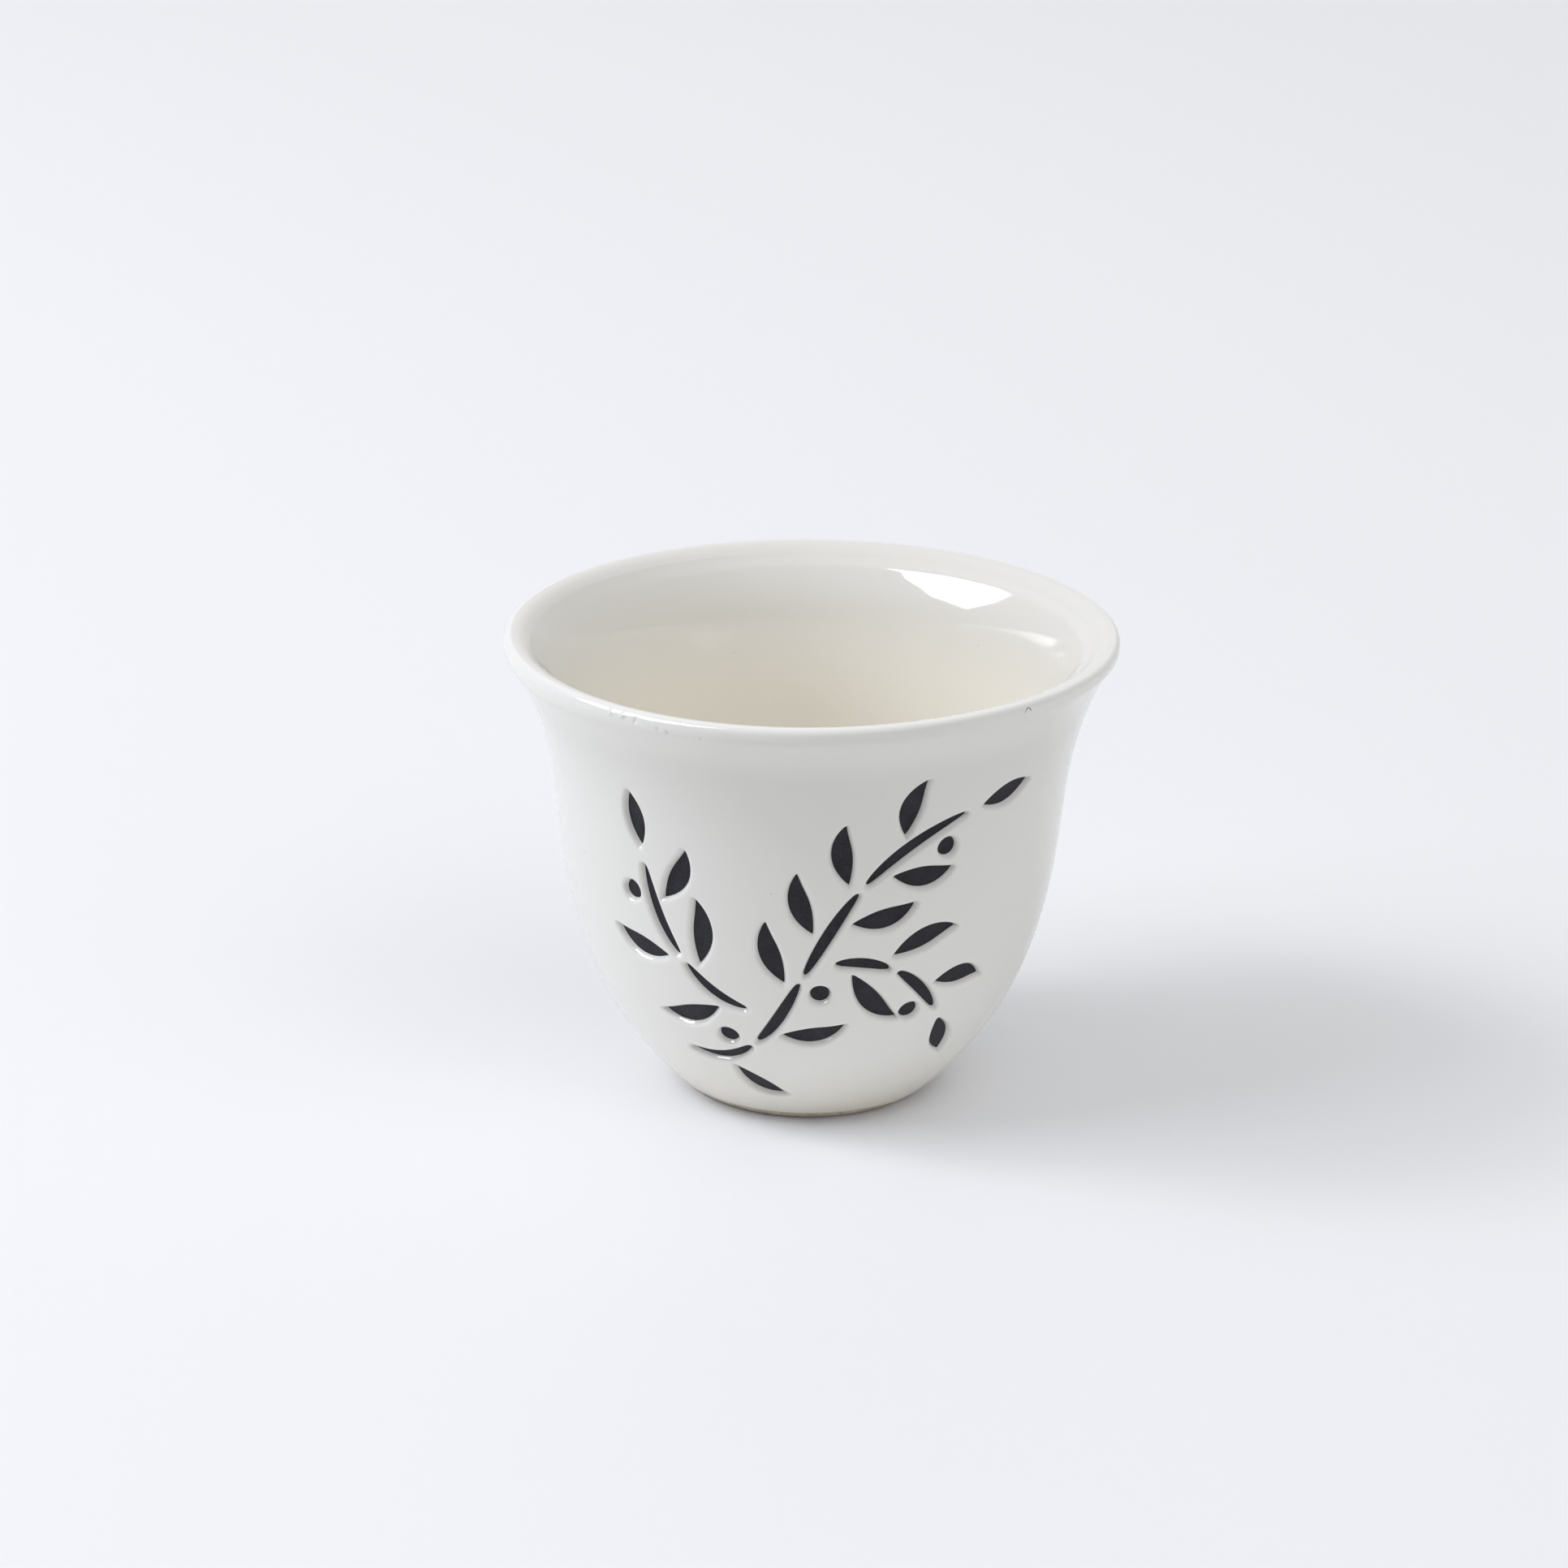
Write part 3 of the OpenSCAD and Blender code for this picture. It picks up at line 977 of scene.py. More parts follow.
def finish_tree(b: TreeBuilder, geometry: Socket, finish: Socket) -> None:
    """Ends a geometry tree with Realize Instances and Set Material."""
    real = b.node("GeometryNodeRealizeInstances", {"Geometry": geometry})
    dressed = b.node("GeometryNodeSetMaterial", {"Geometry": real.outputs[0], "Material": finish})
    b.node("NodeGroupOutput", {0: dressed.outputs[0]})


# Finishes


def shader_group(
    name: str, colours: tuple[str, ...], floats: tuple[str, ...]
) -> tuple[TreeBuilder, bpy.types.NodeOutputs]:
    """An empty shader group for a surface, with the outputs Color, Roughness and Height.

    Args:
        name: The group's name.
        colours: Its colour inputs.
        floats: Its number inputs.

    Returns:
        A builder of the group, and the group's inputs.
    """
    inputs = {label: "NodeSocketColor" for label in colours} | {label: "NodeSocketFloat" for label in floats}
    outputs = {"Color": "NodeSocketColor", "Roughness": "NodeSocketFloat", "Height": "NodeSocketFloat"}
    b = TreeBuilder(new_tree(name, "ShaderNodeTree", inputs, outputs))
    return b, b.node("NodeGroupInput").outputs


@dataclass(frozen=True)
class GlazeMarks:
    """The marks of a poured glaze: tones, among them a lip colour that on the white glaze is a painted
    highlight, specks, swells and pits, with scales in features per metre.
    """

    cloud_scale: float = 70.0
    thin_bias: float = 0.2
    drift: float = 2 * MM
    speck_scale: float = 260.0
    speck_size: float = 0.032
    speck_odds: float = 0.55
    speck_share: float = 0.5
    smear_scale: float = 240.0
    smear: float = 0.05
    swell_scale: float = 160.0
    swell: float = 0.8
    peel_scale: float = 900.0
    peel: float = 0.05
    pit_scale: float = 330.0
    pit_size: float = 0.06
    pit_odds: float = 0.86
    pit_depth: float = 0.12

    def group(self) -> bpy.types.NodeTree:
        """The marks as a shader group.

        Returns:
            The group, with the outputs Color, Roughness and Height.
        """
        colours = ("Glaze", "Thin Glaze", "Speck", "Lip Glaze")
        floats = ("Lip Height", "Lip Fade", "Foot Height", "Base Roughness")
        b, given = shader_group("glaze_marks", colours, floats)
        place = b.place()
        cloud = b.noise(place, self.cloud_scale, 2.0)[0]
        height = b.parts(place)["Z"]
        thin = b.minus(1.0, b.over(height, given["Foot Height"]), clamp=True)
        thin = b.times(thin, b.plus(cloud, self.thin_bias), clamp=True)
        drift = b.times(b.minus(cloud, 0.5), self.drift)
        below = b.minus(given["Lip Height"], b.plus(height, drift))
        faded = b.node(
            "ShaderNodeMapRange",
            {"Value": b.over(below, given["Lip Fade"]), "From Min": 0.0, "From Max": 1.0},
            interpolation_type="SMOOTHSTEP",
        ).outputs[0]
        # Near the lip the colour blends to the lip colour: on the white glaze a painted highlight where the
        # lip's top faces the light from above, on the cream glaze the glaze's own neutral, slightly darker
        # tone.
        tone = b.mix(thin, b.mix(faded, given["Lip Glaze"], given["Glaze"]), given["Thin Glaze"])
        specks = b.node("ShaderNodeTexVoronoi", {"Vector": place, "Scale": self.speck_scale})
        chance = b.node("ShaderNodeSeparateColor", {0: specks.outputs["Color"]}).outputs[0]
        dot = b.math("LESS_THAN", specks.outputs["Distance"], b.times(chance, self.speck_size))
        dot = b.times(dot, b.math("GREATER_THAN", chance, self.speck_odds))
        smear = b.times(b.noise(place, self.smear_scale, 3.0)[0], self.smear)
        rough = b.plus(given["Base Roughness"], smear)
        swell = b.times(b.noise(place, self.swell_scale, 1.0)[0], self.swell)
        peel = b.times(b.noise(place, self.peel_scale, 1.0)[0], self.peel)
        pits = b.node("ShaderNodeTexVoronoi", {"Vector": place, "Scale": self.pit_scale})
        odds = b.node("ShaderNodeSeparateColor", {0: pits.outputs["Color"]}).outputs[1]
        pit = b.minus(1.0, b.over(pits.outputs["Distance"], self.pit_size), clamp=True)
        pit = b.times(pit, b.math("GREATER_THAN", odds, self.pit_odds))
        lift = b.minus(b.plus(swell, peel), b.times(pit, self.pit_depth))
        dotted = b.mix(b.times(dot, self.speck_share), tone, given["Speck"])
        b.node("NodeGroupOutput", {"Color": dotted, "Roughness": rough, "Height": lift})
        return b.tree


@dataclass(frozen=True)
class Blemish:
    """A small lump or pit that the glaze froze with, or a hair-thin crack."""

    around: float
    height: float
    reach: float
    lift: float
    ring: float = 0.0

    def place(self, form: CupForm, sway: LipSway) -> tuple[float, float, float]:
        """Its middle on the glazed outside, as the lip rises and falls, in metres."""
        line, a, level = form.outside(), math.radians(self.around), self.height
        for _ in range(4):
            level = self.height - float(sway.lift(a, level))
        r = float(np.interp(level, line[:, 1], line[:, 0]))
        return r * math.sin(a) * MM, -r * math.cos(a) * MM, self.height * MM


BLEMISHES = (
    Blemish(-39.0, 49.85, 0.60, 3.2),
    Blemish(-36.2, 49.75, 0.55, 4.0),
    Blemish(-33.4, 49.60, 0.65, -3.0),
    Blemish(-28.6, 49.30, 0.45, -2.4),
    Blemish(-26.6, 48.95, 0.40, -3.2),
    Blemish(-20.2, 48.90, 0.40, -2.0),
    Blemish(-17.5, 48.80, 0.45, 1.4),
    Blemish(-5.0, 48.60, 0.50, 1.0),
    Blemish(24.0, 49.40, 0.45, -1.2),
    Blemish(42.4, 49.95, 0.07, -3.0, 0.40),
)


FAULT_WARP = 0.35 * MM
FAULT_WARP_SCALE = 1500.0


def blemishes_group(form: CupForm, sway: LipSway) -> bpy.types.NodeTree:
    """A shader group with the small faults of the lip's glaze.

    Args:
        form: The cup's form, which the faults lie on.
        sway: The lip's rise and fall.

    Returns:
        The group, with the outputs Height and Crack.
    """
    outputs = {"Height": "NodeSocketFloat", "Crack": "NodeSocketFloat"}
    b = TreeBuilder(new_tree("lip_blemishes", "ShaderNodeTree", {}, outputs))
    place = b.place()
    warp = b.vector("SUBTRACT", b.noise(place, FAULT_WARP_SCALE, 1.0)["Color"], (0.5, 0.5, 0.5))
    bent = b.vector("ADD", place, b.vector("SCALE", warp, FAULT_WARP))
    height: Socket | float = 0.0
    crack: Socket | float = 0.0
    for fault in BLEMISHES:
        away = b.vector("DISTANCE", bent, fault.place(form, sway))
        if fault.ring:
            away = b.math("ABSOLUTE", b.minus(away, fault.ring * MM))
        share = b.minus(1.0, b.over(away, fault.reach * MM), clamp=True)
        if fault.ring:
            over = b.parts(place)["Z"]
            share = b.times(share, b.math("GREATER_THAN", over, fault.height * MM))
            crack = b.plus(crack, share)
        share = b.times(share, share)
        height = b.plus(height, b.times(share, fault.lift))
    b.node("NodeGroupOutput", {"Height": height, "Crack": crack})
    return b.tree


@dataclass(frozen=True)
class FiredGrain:
    """The grain of fired clay or dry colour: fine grain on broader patches."""

    grain_share: float = 0.65
    patch_share: float = 0.35
    darkest: float = 0.34
    lightest: float = 0.66

    def group(self) -> bpy.types.NodeTree:
        """The grain as a shader group.

        Returns:
            The group, with the outputs Color, Roughness and Height.
        """
        floats = ("Grain Scale", "Patch Scale", "Base Roughness", "Roughness Spread")
        b, given = shader_group("fired_grain", ("Dark", "Light"), floats)
        place = b.place()
        grain = b.times(b.noise(place, given["Grain Scale"], 3.0)[0], self.grain_share)
        patch = b.times(b.noise(place, given["Patch Scale"], 2.0)[0], self.patch_share)
        both = b.plus(grain, patch)
        ends = {"From Min": self.darkest, "From Max": self.lightest, "To Min": 0.0, "To Max": 1.0}
        mask = b.node("ShaderNodeMapRange", {"Value": both, **ends}).outputs[0]
        rough = b.plus(given["Base Roughness"], b.times(mask, given["Roughness Spread"]))
        tone = b.mix(mask, given["Dark"], given["Light"])
        b.node("NodeGroupOutput", {"Color": tone, "Roughness": rough, "Height": both})
        return b.tree


def new_material(name: str) -> tuple[bpy.types.Material, TreeBuilder, bpy.types.Node]:
    """A node-based material with a Principled BSDF."""
    material = bpy.data.materials.new(name)
    material.use_nodes = True
    return material, TreeBuilder(material.node_tree), material.node_tree.nodes["Principled BSDF"]


@dataclass(frozen=True)
class GlazeFinish:
    """A clear-surfaced white or cream glaze."""

    name: str
    colour: Colour
    thin_colour: Colour
    # Lip colour: a painted highlight on the white glaze, the glaze's own neutral tone on the cream glaze.
    lip_tint_and_highlight: Colour
    speck: Colour = (0.36, 0.30, 0.24)
    lip_height: float = 49 * MM
    lip_fade: float = 14 * MM
    foot_height: float = 9 * MM
    roughness: float = 0.05
    crack_colour: Colour = (0.30, 0.24, 0.17)
    bump: float = 0.05 * MM
    ior: float = 1.5

    def material(
        self, marks: bpy.types.NodeTree, blemishes: bpy.types.NodeTree | None = None
    ) -> bpy.types.Material:
        """The glaze's material.

        Args:
            marks: The shader group glaze_marks.
            blemishes: The shader group lip_blemishes, where the glaze shows them.

        Returns:
            The new material.
        """
        material, b, surface = new_material(self.name)
        inputs = {
            "Glaze": (*self.colour, 1.0),
            "Thin Glaze": (*self.thin_colour, 1.0),
            "Speck": (*self.speck, 1.0),
            "Lip Glaze": (*self.lip_tint_and_highlight, 1.0),
            "Lip Height": self.lip_height,
            "Lip Fade": self.lip_fade,
            "Foot Height": self.foot_height,
            "Base Roughness": self.roughness,
        }
        shown = b.node("ShaderNodeGroup", inputs, node_tree=marks).outputs
        height, colour = shown["Height"], shown["Color"]
        if blemishes is not None:
            faults = b.node("ShaderNodeGroup", node_tree=blemishes).outputs
            height = b.plus(height, faults["Height"])
            colour = b.mix(faults["Crack"], colour, (*self.crack_colour, 1.0))
        relief = {"Height": height, "Distance": self.bump, "Strength": 1.0}
        look = {
            "Base Color": colour,
            "Roughness": shown["Roughness"],
            "Normal": b.node("ShaderNodeBump", relief).outputs[0],
            "IOR": self.ior,
        }
        b.fill(surface, look)
        return material


@dataclass(frozen=True)
class GrainFinish:
    """A matt or satin surface with a fired grain."""

    name: str
    dark: Colour
    light: Colour
    grain_scale: float
    patch_scale: float
    roughness: float
    roughness_spread: float
    bump: float
    specular: float = 0.5

    def material(self, grain: bpy.types.NodeTree) -> bpy.types.Material:
        """The surface's material.

        Args:
            grain: The shader group fired_grain.

        Returns:
            The new material.
        """
        material, b, surface = new_material(self.name)
        inputs = {
            "Dark": (*self.dark, 1.0),
            "Light": (*self.light, 1.0),
            "Grain Scale": self.grain_scale,
            "Patch Scale": self.patch_scale,
            "Base Roughness": self.roughness,
            "Roughness Spread": self.roughness_spread,
        }
        shown = b.node("ShaderNodeGroup", inputs, node_tree=grain).outputs
        relief = {"Height": shown["Height"], "Distance": self.bump, "Strength": 1.0}
        look = {
            "Base Color": shown["Color"],
            "Roughness": shown["Roughness"],
            "Normal": b.node("ShaderNodeBump", relief).outputs[0],
            "Specular IOR Level": self.specular,
        }
        b.fill(surface, look)
        return material


WHITE = GlazeFinish(
    name="white_glaze",
    colour=(0.80, 0.797, 0.788),
    thin_colour=(0.77, 0.735, 0.66),
    # The paler lip colour is a painted highlight for the light from above on the lip's top.
    lip_tint_and_highlight=(0.86, 0.857, 0.848),
    lip_height=47.5 * MM,
    lip_fade=4 * MM,
)
CREAM = GlazeFinish(
    name="cream_glaze",
    colour=(0.845, 0.815, 0.745),
    thin_colour=(0.83, 0.785, 0.69),
    # At the lip the cream glaze takes a neutral, slightly darker tone of its own.
    lip_tint_and_highlight=(0.785, 0.775, 0.75),
    foot_height=20 * MM,
)
CHARCOAL = GrainFinish(
    name="charcoal_inlay",
    dark=(0.008, 0.008, 0.012),
    light=(0.034, 0.034, 0.045),
    grain_scale=7000.0,
    patch_scale=500.0,
    roughness=0.50,
    roughness_spread=0.15,
    bump=0.02 * MM,
    specular=0.25,
)
BARE_CLAY = GrainFinish(
    name="fired_clay",
    dark=(0.50, 0.42, 0.31),
    light=(0.72, 0.66, 0.55),
    grain_scale=2600.0,
    patch_scale=400.0,
    roughness=0.75,
    roughness_spread=0.15,
    bump=0.05 * MM,
)


# Sub-assemblies


@dataclass
class TurnedPieces:
    """The clay and the glazes that are solids of revolution.

    The sizes are in millimetres. The clay sinks below the strokes' floors from sink_start to sink_end, as
    shares of its outside, and the skips thin out the points of the cup's profiles.
    """

    form: CupForm
    sway: LipSway
    sides: int = 256
    clay_skip: int = 20
    sink: float = 1.0
    sink_start: float = 0.03
    sink_end: float = 0.93
    sink_fade: float = 0.08
    seat_gap: float = 0.02
    lip_points: int = 240
    lip_skip: int = 3
    bowl_skip: int = 12
    back_skip: int = 32
    pool_over: float = 0.12
    pool_edge_w: float = 0.5
    pool_edge_h: float = 0.3
    pool_seat: float = 0.05
    roll_points: int = 8
    axis_reach: float = 0.05

    def build(self, tree: bpy.types.NodeTree, finishes: dict[Slot, bpy.types.Material]) -> None:
        """Makes and hands over the clay body, the inner glaze and the foot's glaze.

        Args:
            tree: The geometry tree turned_form.
            finishes: The materials by slot.
        """
        coat = TurnedSurface(self.form, self.form.inside(), self.sway)
        pieces = (
            ("clay_body", "clay_body_turned", self._clay(), Slot.FIRED_CLAY, None),
            ("inner_glaze", "inner_glaze_coat", self._inner_glaze(), Slot.CREAM_GLAZE, coat),
            ("foot_glaze", "foot_glaze_pool", self._foot_glaze(), Slot.WHITE_GLAZE, None),
        )
        for node, name, profile, slot, face in pieces:
            mesh = turned_mesh(tree, name, profile, self.sides, finishes[slot])
            self._sway(mesh, face)
            hand_over(placed(name, mesh), [node])

    def _clay(self) -> np.ndarray:
        """The clay's profile, sunk below the floors of the strokes."""
        out = self.form.outside()[:: self.clay_skip]
        run = np.linspace(0, 1, len(out))
        start = np.clip(run / self.sink_start, 0, 1)
        end = np.clip((self.sink_end - run) / self.sink_fade, 0, 1)
        deep = self.form.glaze_t + self.sink * start * end
        normals = right_of(unit(np.gradient(out, axis=0)))
        outer = out - deep[:, None] * normals
        inner = moved_in(self.form.inside()[:: self.clay_skip], self.form.glaze_t + self.seat_gap)
        inner[-1, 0] = 0
        return np.vstack([self.form.foot(), outer[1:-1], inner[1:]])

    def _inner_glaze(self) -> np.ndarray:
        """The inner glaze's closed profile, from its back on the axis round to its face."""
        line = self.form.inside()
        face = np.vstack([line[: self.lip_points : self.lip_skip], line[self.lip_points :: self.bowl_skip]])
        face[-1, 0] = 0
        back = moved_in(line[:: self.back_skip], self.form.glaze_t)[::-1]
        back[0, 0] = 0
        return np.vstack([back, face])

    def _foot_glaze(self) -> np.ndarray:
        """The profile of the glaze in the hollow of the foot, with a rolled edge."""
        f = self.form
        reach = f.foot_d / 2 - f.ring_w - f.ring_lean + self.pool_over
        face = f.recess_h - f.glaze_t
        roll = np.linspace(0, math.pi / 2, self.roll_points)
        across = reach - self.pool_edge_w + self.pool_edge_w * np.sin(roll)
        edge = np.stack([across, face + self.pool_edge_h * (1 - np.cos(roll))], axis=1)
        return np.vstack([[[0, face]], [[reach / 2, face]], edge, [[0, f.recess_h + self.pool_seat]]])

    def _sway(self, mesh: bpy.types.Mesh, face: TurnedSurface | None) -> None:
        """Lets the lip of a turned mesh rise and fall, and sets a coat's normals.

        Args:
            mesh: The mesh.
            face: The surface whose normals a coat's face takes, or None for Blender's own.
        """
        level = mesh_points(mesh)
        around = np.arctan2(level[:, 0], -level[:, 1])
        swayed = level.copy()
        swayed[:, 2] += self.sway.lift(around, level[:, 2])
        mesh.vertices.foreach_set("co", (swayed * MM).ravel())
        mesh.update()
        if face is None:
            return
        r = np.hypot(level[:, 0], level[:, 1])
        up, gap = face.nearest(r, level[:, 2])
        side = np.where(gap < self.form.glaze_t / 2, 1, -1)[:, None]
        upward = side * np.array([0.0, 0.0, 1.0])
        normals = np.where(r[:, None] < self.axis_reach, upward, side * face.normals(around, up))
        mesh.normals_split_custom_set_from_vertices(normals.tolist())


def turned_mesh(
    tree: bpy.types.NodeTree, name: str, profile: np.ndarray, sides: int, finish: bpy.types.Material
) -> bpy.types.Mesh:
    """A mesh turned from a profile, smooth all round.

    Args:
        tree: The geometry tree turned_form.
        name: The mesh's name.
        profile: Radius and height of each row, in millimetres.
        sides: Sides of the turned form.
        finish: Its material.

    Returns:
        The mesh.
    """
    line = bpy.data.meshes.new(f"{name}_profile")
    line.from_pydata([(r * MM, 0.0, z * MM) for r, z in profile], [], [])
    holder = placed(f"{name}_profile", line)
    values = {"Profile": holder, "Rows": len(profile), "Sides": sides, "Finish": finish}
    mesh = grown(tree, name, values)
    bpy.data.objects.remove(holder)
    bpy.data.meshes.remove(line)
    return mesh


@dataclass
class OuterGlaze:
    """The glaze on the outside, with the soft-edged channel of each stroke pressed into it.

    The sizes are in millimetres. The rings are the distances from a stroke's outline at which the mesh has
    a ring of points, and each of the waves has its turns, its rise, its start and its share.
    """

    form: CupForm
    sway: LipSway
    strokes: list[Stroke]
    columns: int = 164
    row_step: float = 0.72
    lip_step: float = 0.16
    lip_zone: float = 6.0
    edge_roll: float = 0.45
    channel_reach: float = 0.85
    channel_foot: float = 0.12
    channel_power: float = 4.2
    coat_t: float = 0.3
    edge_gap: float = 0.35
    ring_room: float = 0.1
    floor_room: float = 0.12
    edge_rows: int = 6
    weld: float = 1e-5
    same_point: float = 1e-4
    same_digits: int = 3
    least_area: float = 1e-9
    outline_steps: int = 27
    wall_points: int = 2300
    ring_points: int = 24
    ring_stretch: float = 1.6
    ring_slack: tuple[float, float] = (0.03, 0.04)
    tip_reach: float = 0.05
    far: float = 9.0
    margin: float = 1.0
    behind: float = -5.0
    swell: float = 0.03
    wave_h: float = 0.018
    waves: tuple[tuple[float, ...], ...] = ((3, 0.13, 0.7, 1.0), (5, -0.21, 2.1, 0.7), (2, 0.37, 4.0, 0.5))
    calm_top: float = 8.0
    calm_foot: float = 4.0
    slope_step: float = 0.025
    rings: tuple[float, ...] = (-0.2, -0.11, -0.05, 0.0, 0.06, 0.13, 0.22, 0.33, 0.47, 0.65, 0.85)

    def __post_init__(self) -> None:
        """Samples the wall and fits a plane to each stroke."""
        self.line = self.form.outside()
        self.wall = TurnedSurface(self.form, self.line, self.sway)
        self.run = self.wall.run
        self.planes = [WallFrame(self.form, s) for s in self.strokes]
        self.outlines = [s.outline(self.outline_steps) for s in self.strokes]

    def build(self, finish: bpy.types.Material) -> None:
        """Makes and hands over the outer glaze.

        Args:
            finish: The white glaze.
        """
        flat, faces = self._mesh_plan()
        around, up = flat[:, 0] / self.form.belly_r, flat[:, 1]
        face = self.wall.points(around, up, self._depth(around, up))
        normals = self.wall.normals(around, up, self._depth, self.slope_step)
        base = self.wall.normals(around, up)
        back = face - self.coat_t * base
        count = len(face)
        low, high = self._borders(flat, 0.0), self._borders(flat, self.run[-1])
        strips = []
        for ring, flip in ((low, False), (high, True)):
            for a, b in zip(ring, ring[1:] + ring[:1]):
                quad = (a, a + count, b + count, b)
                strips.append(quad[::-1] if flip else quad)
        backs = faces[:, ::-1] + count
        piece = make_piece(
            "outer_glaze_coat",
            np.vstack([face, back]),
            [tuple(f) for f in np.vstack([faces, backs])] + strips,
            np.vstack([normals, -base]),
        )
        piece.data.materials.append(finish)
        hand_over(piece, ["outer_glaze"])

    def _mesh_plan(self) -> tuple[np.ndarray, np.ndarray]:
        """Plans the mesh on the unrolled wall, with rings of points round each stroke.

        Returns:
            The flat points, with the seam's two sides joined, and the triangles.
        """
        points, edges = [tuple(p) for p in self._grid()], []
        for plane, outline in zip(self.planes, self.outlines):
            for reach in self.rings:
                ring = self._ring(plane, outline, reach)
                start = len(points)
                points += [tuple(p) for p in ring]
                edges += [(start + i, start + (i + 1) % len(ring)) for i in range(len(ring))]
        made, _, faces, *_ = delaunay_2d_cdt([Vector(p) for p in points], edges, [], 0, self.weld)
        return self._seamless(np.array([tuple(p) for p in made]), np.array(faces))

    @property
    def half(self) -> float:
        """Half the way round the belly."""
        return math.pi * self.form.belly_r

    def _grid(self) -> np.ndarray:
        """Rows of points on the unrolled wall, closer at the foot's edge and the lip, clear of the rings."""
        top = self.run[-1]
        first = self.edge_roll * (1 - np.cos(np.linspace(0, math.pi / 2, self.edge_rows)))
        body = np.arange(self.edge_roll + self.edge_gap, top - self.lip_zone, self.row_step)
        lip = np.linspace(top - self.lip_zone, top, int(self.lip_zone / self.lip_step))
        rows = np.concatenate([first, body, lip])
        xs = np.linspace(-self.half, self.half, self.columns + 1)
        grid = np.stack(np.meshgrid(xs, rows), axis=-1).reshape(-1, 2)
        gap = self._gap(grid[:, 0] / self.form.belly_r, grid[:, 1])
        return grid[(gap > self.rings[-1] + self.ring_room) | (gap < self.rings[0] - self.floor_room)]

    def _seamless(self, flat: np.ndarray, triangles: np.ndarray) -> tuple[np.ndarray, np.ndarray]:
        """Joins the seam's two sides and turns each triangle outward.

        Args:
            flat: Points of the unrolled wall.
            triangles: Their triangles.

        Returns:
            The points that are left, and the triangles.
        """
        half = self.half
        right = np.abs(flat[:, 0] - half) < self.same_point
        heights = [round(float(y), self.same_digits) for y in flat[:, 1]]
        left = {heights[i]: i for i, x in enumerate(flat[:, 0]) if abs(x + half) < self.same_point}
        joined = np.arange(len(flat))
        for i in np.where(right)[0]:
            joined[i] = left[heights[i]]
        kept, triangles = np.unique(joined[triangles], return_inverse=True)
        triangles, flat = triangles.reshape(-1, 3), flat[kept]
        a, b, c = (flat[triangles[:, k]] for k in range(3))
        ab, ac = b - a, c - a
        for side in (ab, ac):
            side[:, 0] = (side[:, 0] + half) % (2 * half) - half
        turn = ab[:, 0] * ac[:, 1] - ab[:, 1] * ac[:, 0]
        triangles[turn < 0] = triangles[turn < 0][:, ::-1]
        return flat, triangles[np.abs(turn) > self.least_area]

    def _borders(self, flat: np.ndarray, height: float) -> list[int]:
        """Points on a border of the plan, in order round the cup."""
        near = np.where(np.abs(flat[:, 1] - height) < self.same_point)[0]
        return [int(i) for i in near[np.argsort(flat[near, 0])]]

    def _ring(self, plane: WallFrame, outline: np.ndarray, reach: float) -> np.ndarray:
        """A ring at a distance from a stroke's outline, on the unrolled wall.

        Args:
            plane: The stroke's plane.
            outline: The stroke's outline, anticlockwise.
            reach: The distance, negative inside.

        Returns:
            Points of the ring: distance along the belly, and distance up the wall.
        """
        count = max(self.ring_points, int(len(outline) * self.ring_stretch))
        smooth = even(np.vstack([outline, outline[:1]]), 1 + count)[:-1]
        tangent = unit(np.roll(smooth, -1, axis=0) - np.roll(smooth, 1, axis=0))
        ring = smooth + reach * right_of(tangent)
        gap = signed_distance(ring, outline)
        ring = ring[np.abs(gap - reach) < self.ring_slack[0] + self.ring_slack[1] * abs(reach)]
        if reach > self.tip_reach:
            ring = self._rounded(ring)
        angle, height = plane.on_wall(ring)
        up = np.interp(height, self.line[: self.wall_points, 1], self.run[: self.wall_points])
        return np.stack([angle * self.form.belly_r, up], axis=1)

    def _rounded(self, ring: np.ndarray) -> np.ndarray:
        """Fills the arcs that an outward ring leaves open round a pointed tip."""
        closed = np.vstack([ring, ring[:1]])
        lengths = np.linalg.norm(np.diff(closed, axis=0), axis=1)
        usual = np.median(lengths)
        filled = []
        for a, b, length in zip(closed, closed[1:], lengths):
            filled.append(a)
            extra = int(length / (self.ring_stretch * usual))
            for k in range(1, extra + 1):
                filled.append(a + (b - a) * k / (extra + 1))
        return np.array(filled)

    def _gap(self, around: np.ndarray, up: np.ndarray) -> np.ndarray:
        """Signed distance from points of the wall to the nearest outline, or far where none is near."""
        r = np.interp(up, self.run, self.line[:, 0])
        z = np.interp(up, self.run, self.line[:, 1])
        points = np.stack([r * np.sin(around), -r * np.cos(around), z], axis=1)
        best = np.full(len(points), self.far)
        for plane, outline in zip(self.planes, self.outlines):
            low, high = outline.min(axis=0) - self.margin, outline.max(axis=0) + self.margin
            local = plane.local(points)
            near = (local[:, :2] > low).all(axis=1) & (local[:, :2] < high).all(axis=1)
            near &= local[:, 2] > self.behind
            if near.any():
                best[near] = np.minimum(best[near], signed_distance(local[near, :2], outline))
        return best

    def _depth(self, around: np.ndarray, up: np.ndarray) -> np.ndarray:
        """Depth of the glaze's face below the plain wall: channels, rolled edge and a slow unevenness."""
        width = self.channel_reach + self.channel_foot
        share = np.clip((self.channel_reach - self._gap(around, up)) / width, 0, 1)
        channel = self.form.stroke_depth * share**self.channel_power
        low = np.clip(1 - up / self.edge_roll, 0, 1)
        roll = self.form.glaze_t * (1 - np.sqrt(1 - low**2))
        waves = (size * np.sin(n * around + rise * up + at) for n, rise, at, size in self.waves)
        calm = np.clip((self.run[-1] - up) / self.calm_top, 0, 1) * np.clip(up / self.calm_foot, 0, 1)
        return channel + roll + (self.wave_h * sum(waves) + self.swell) * calm


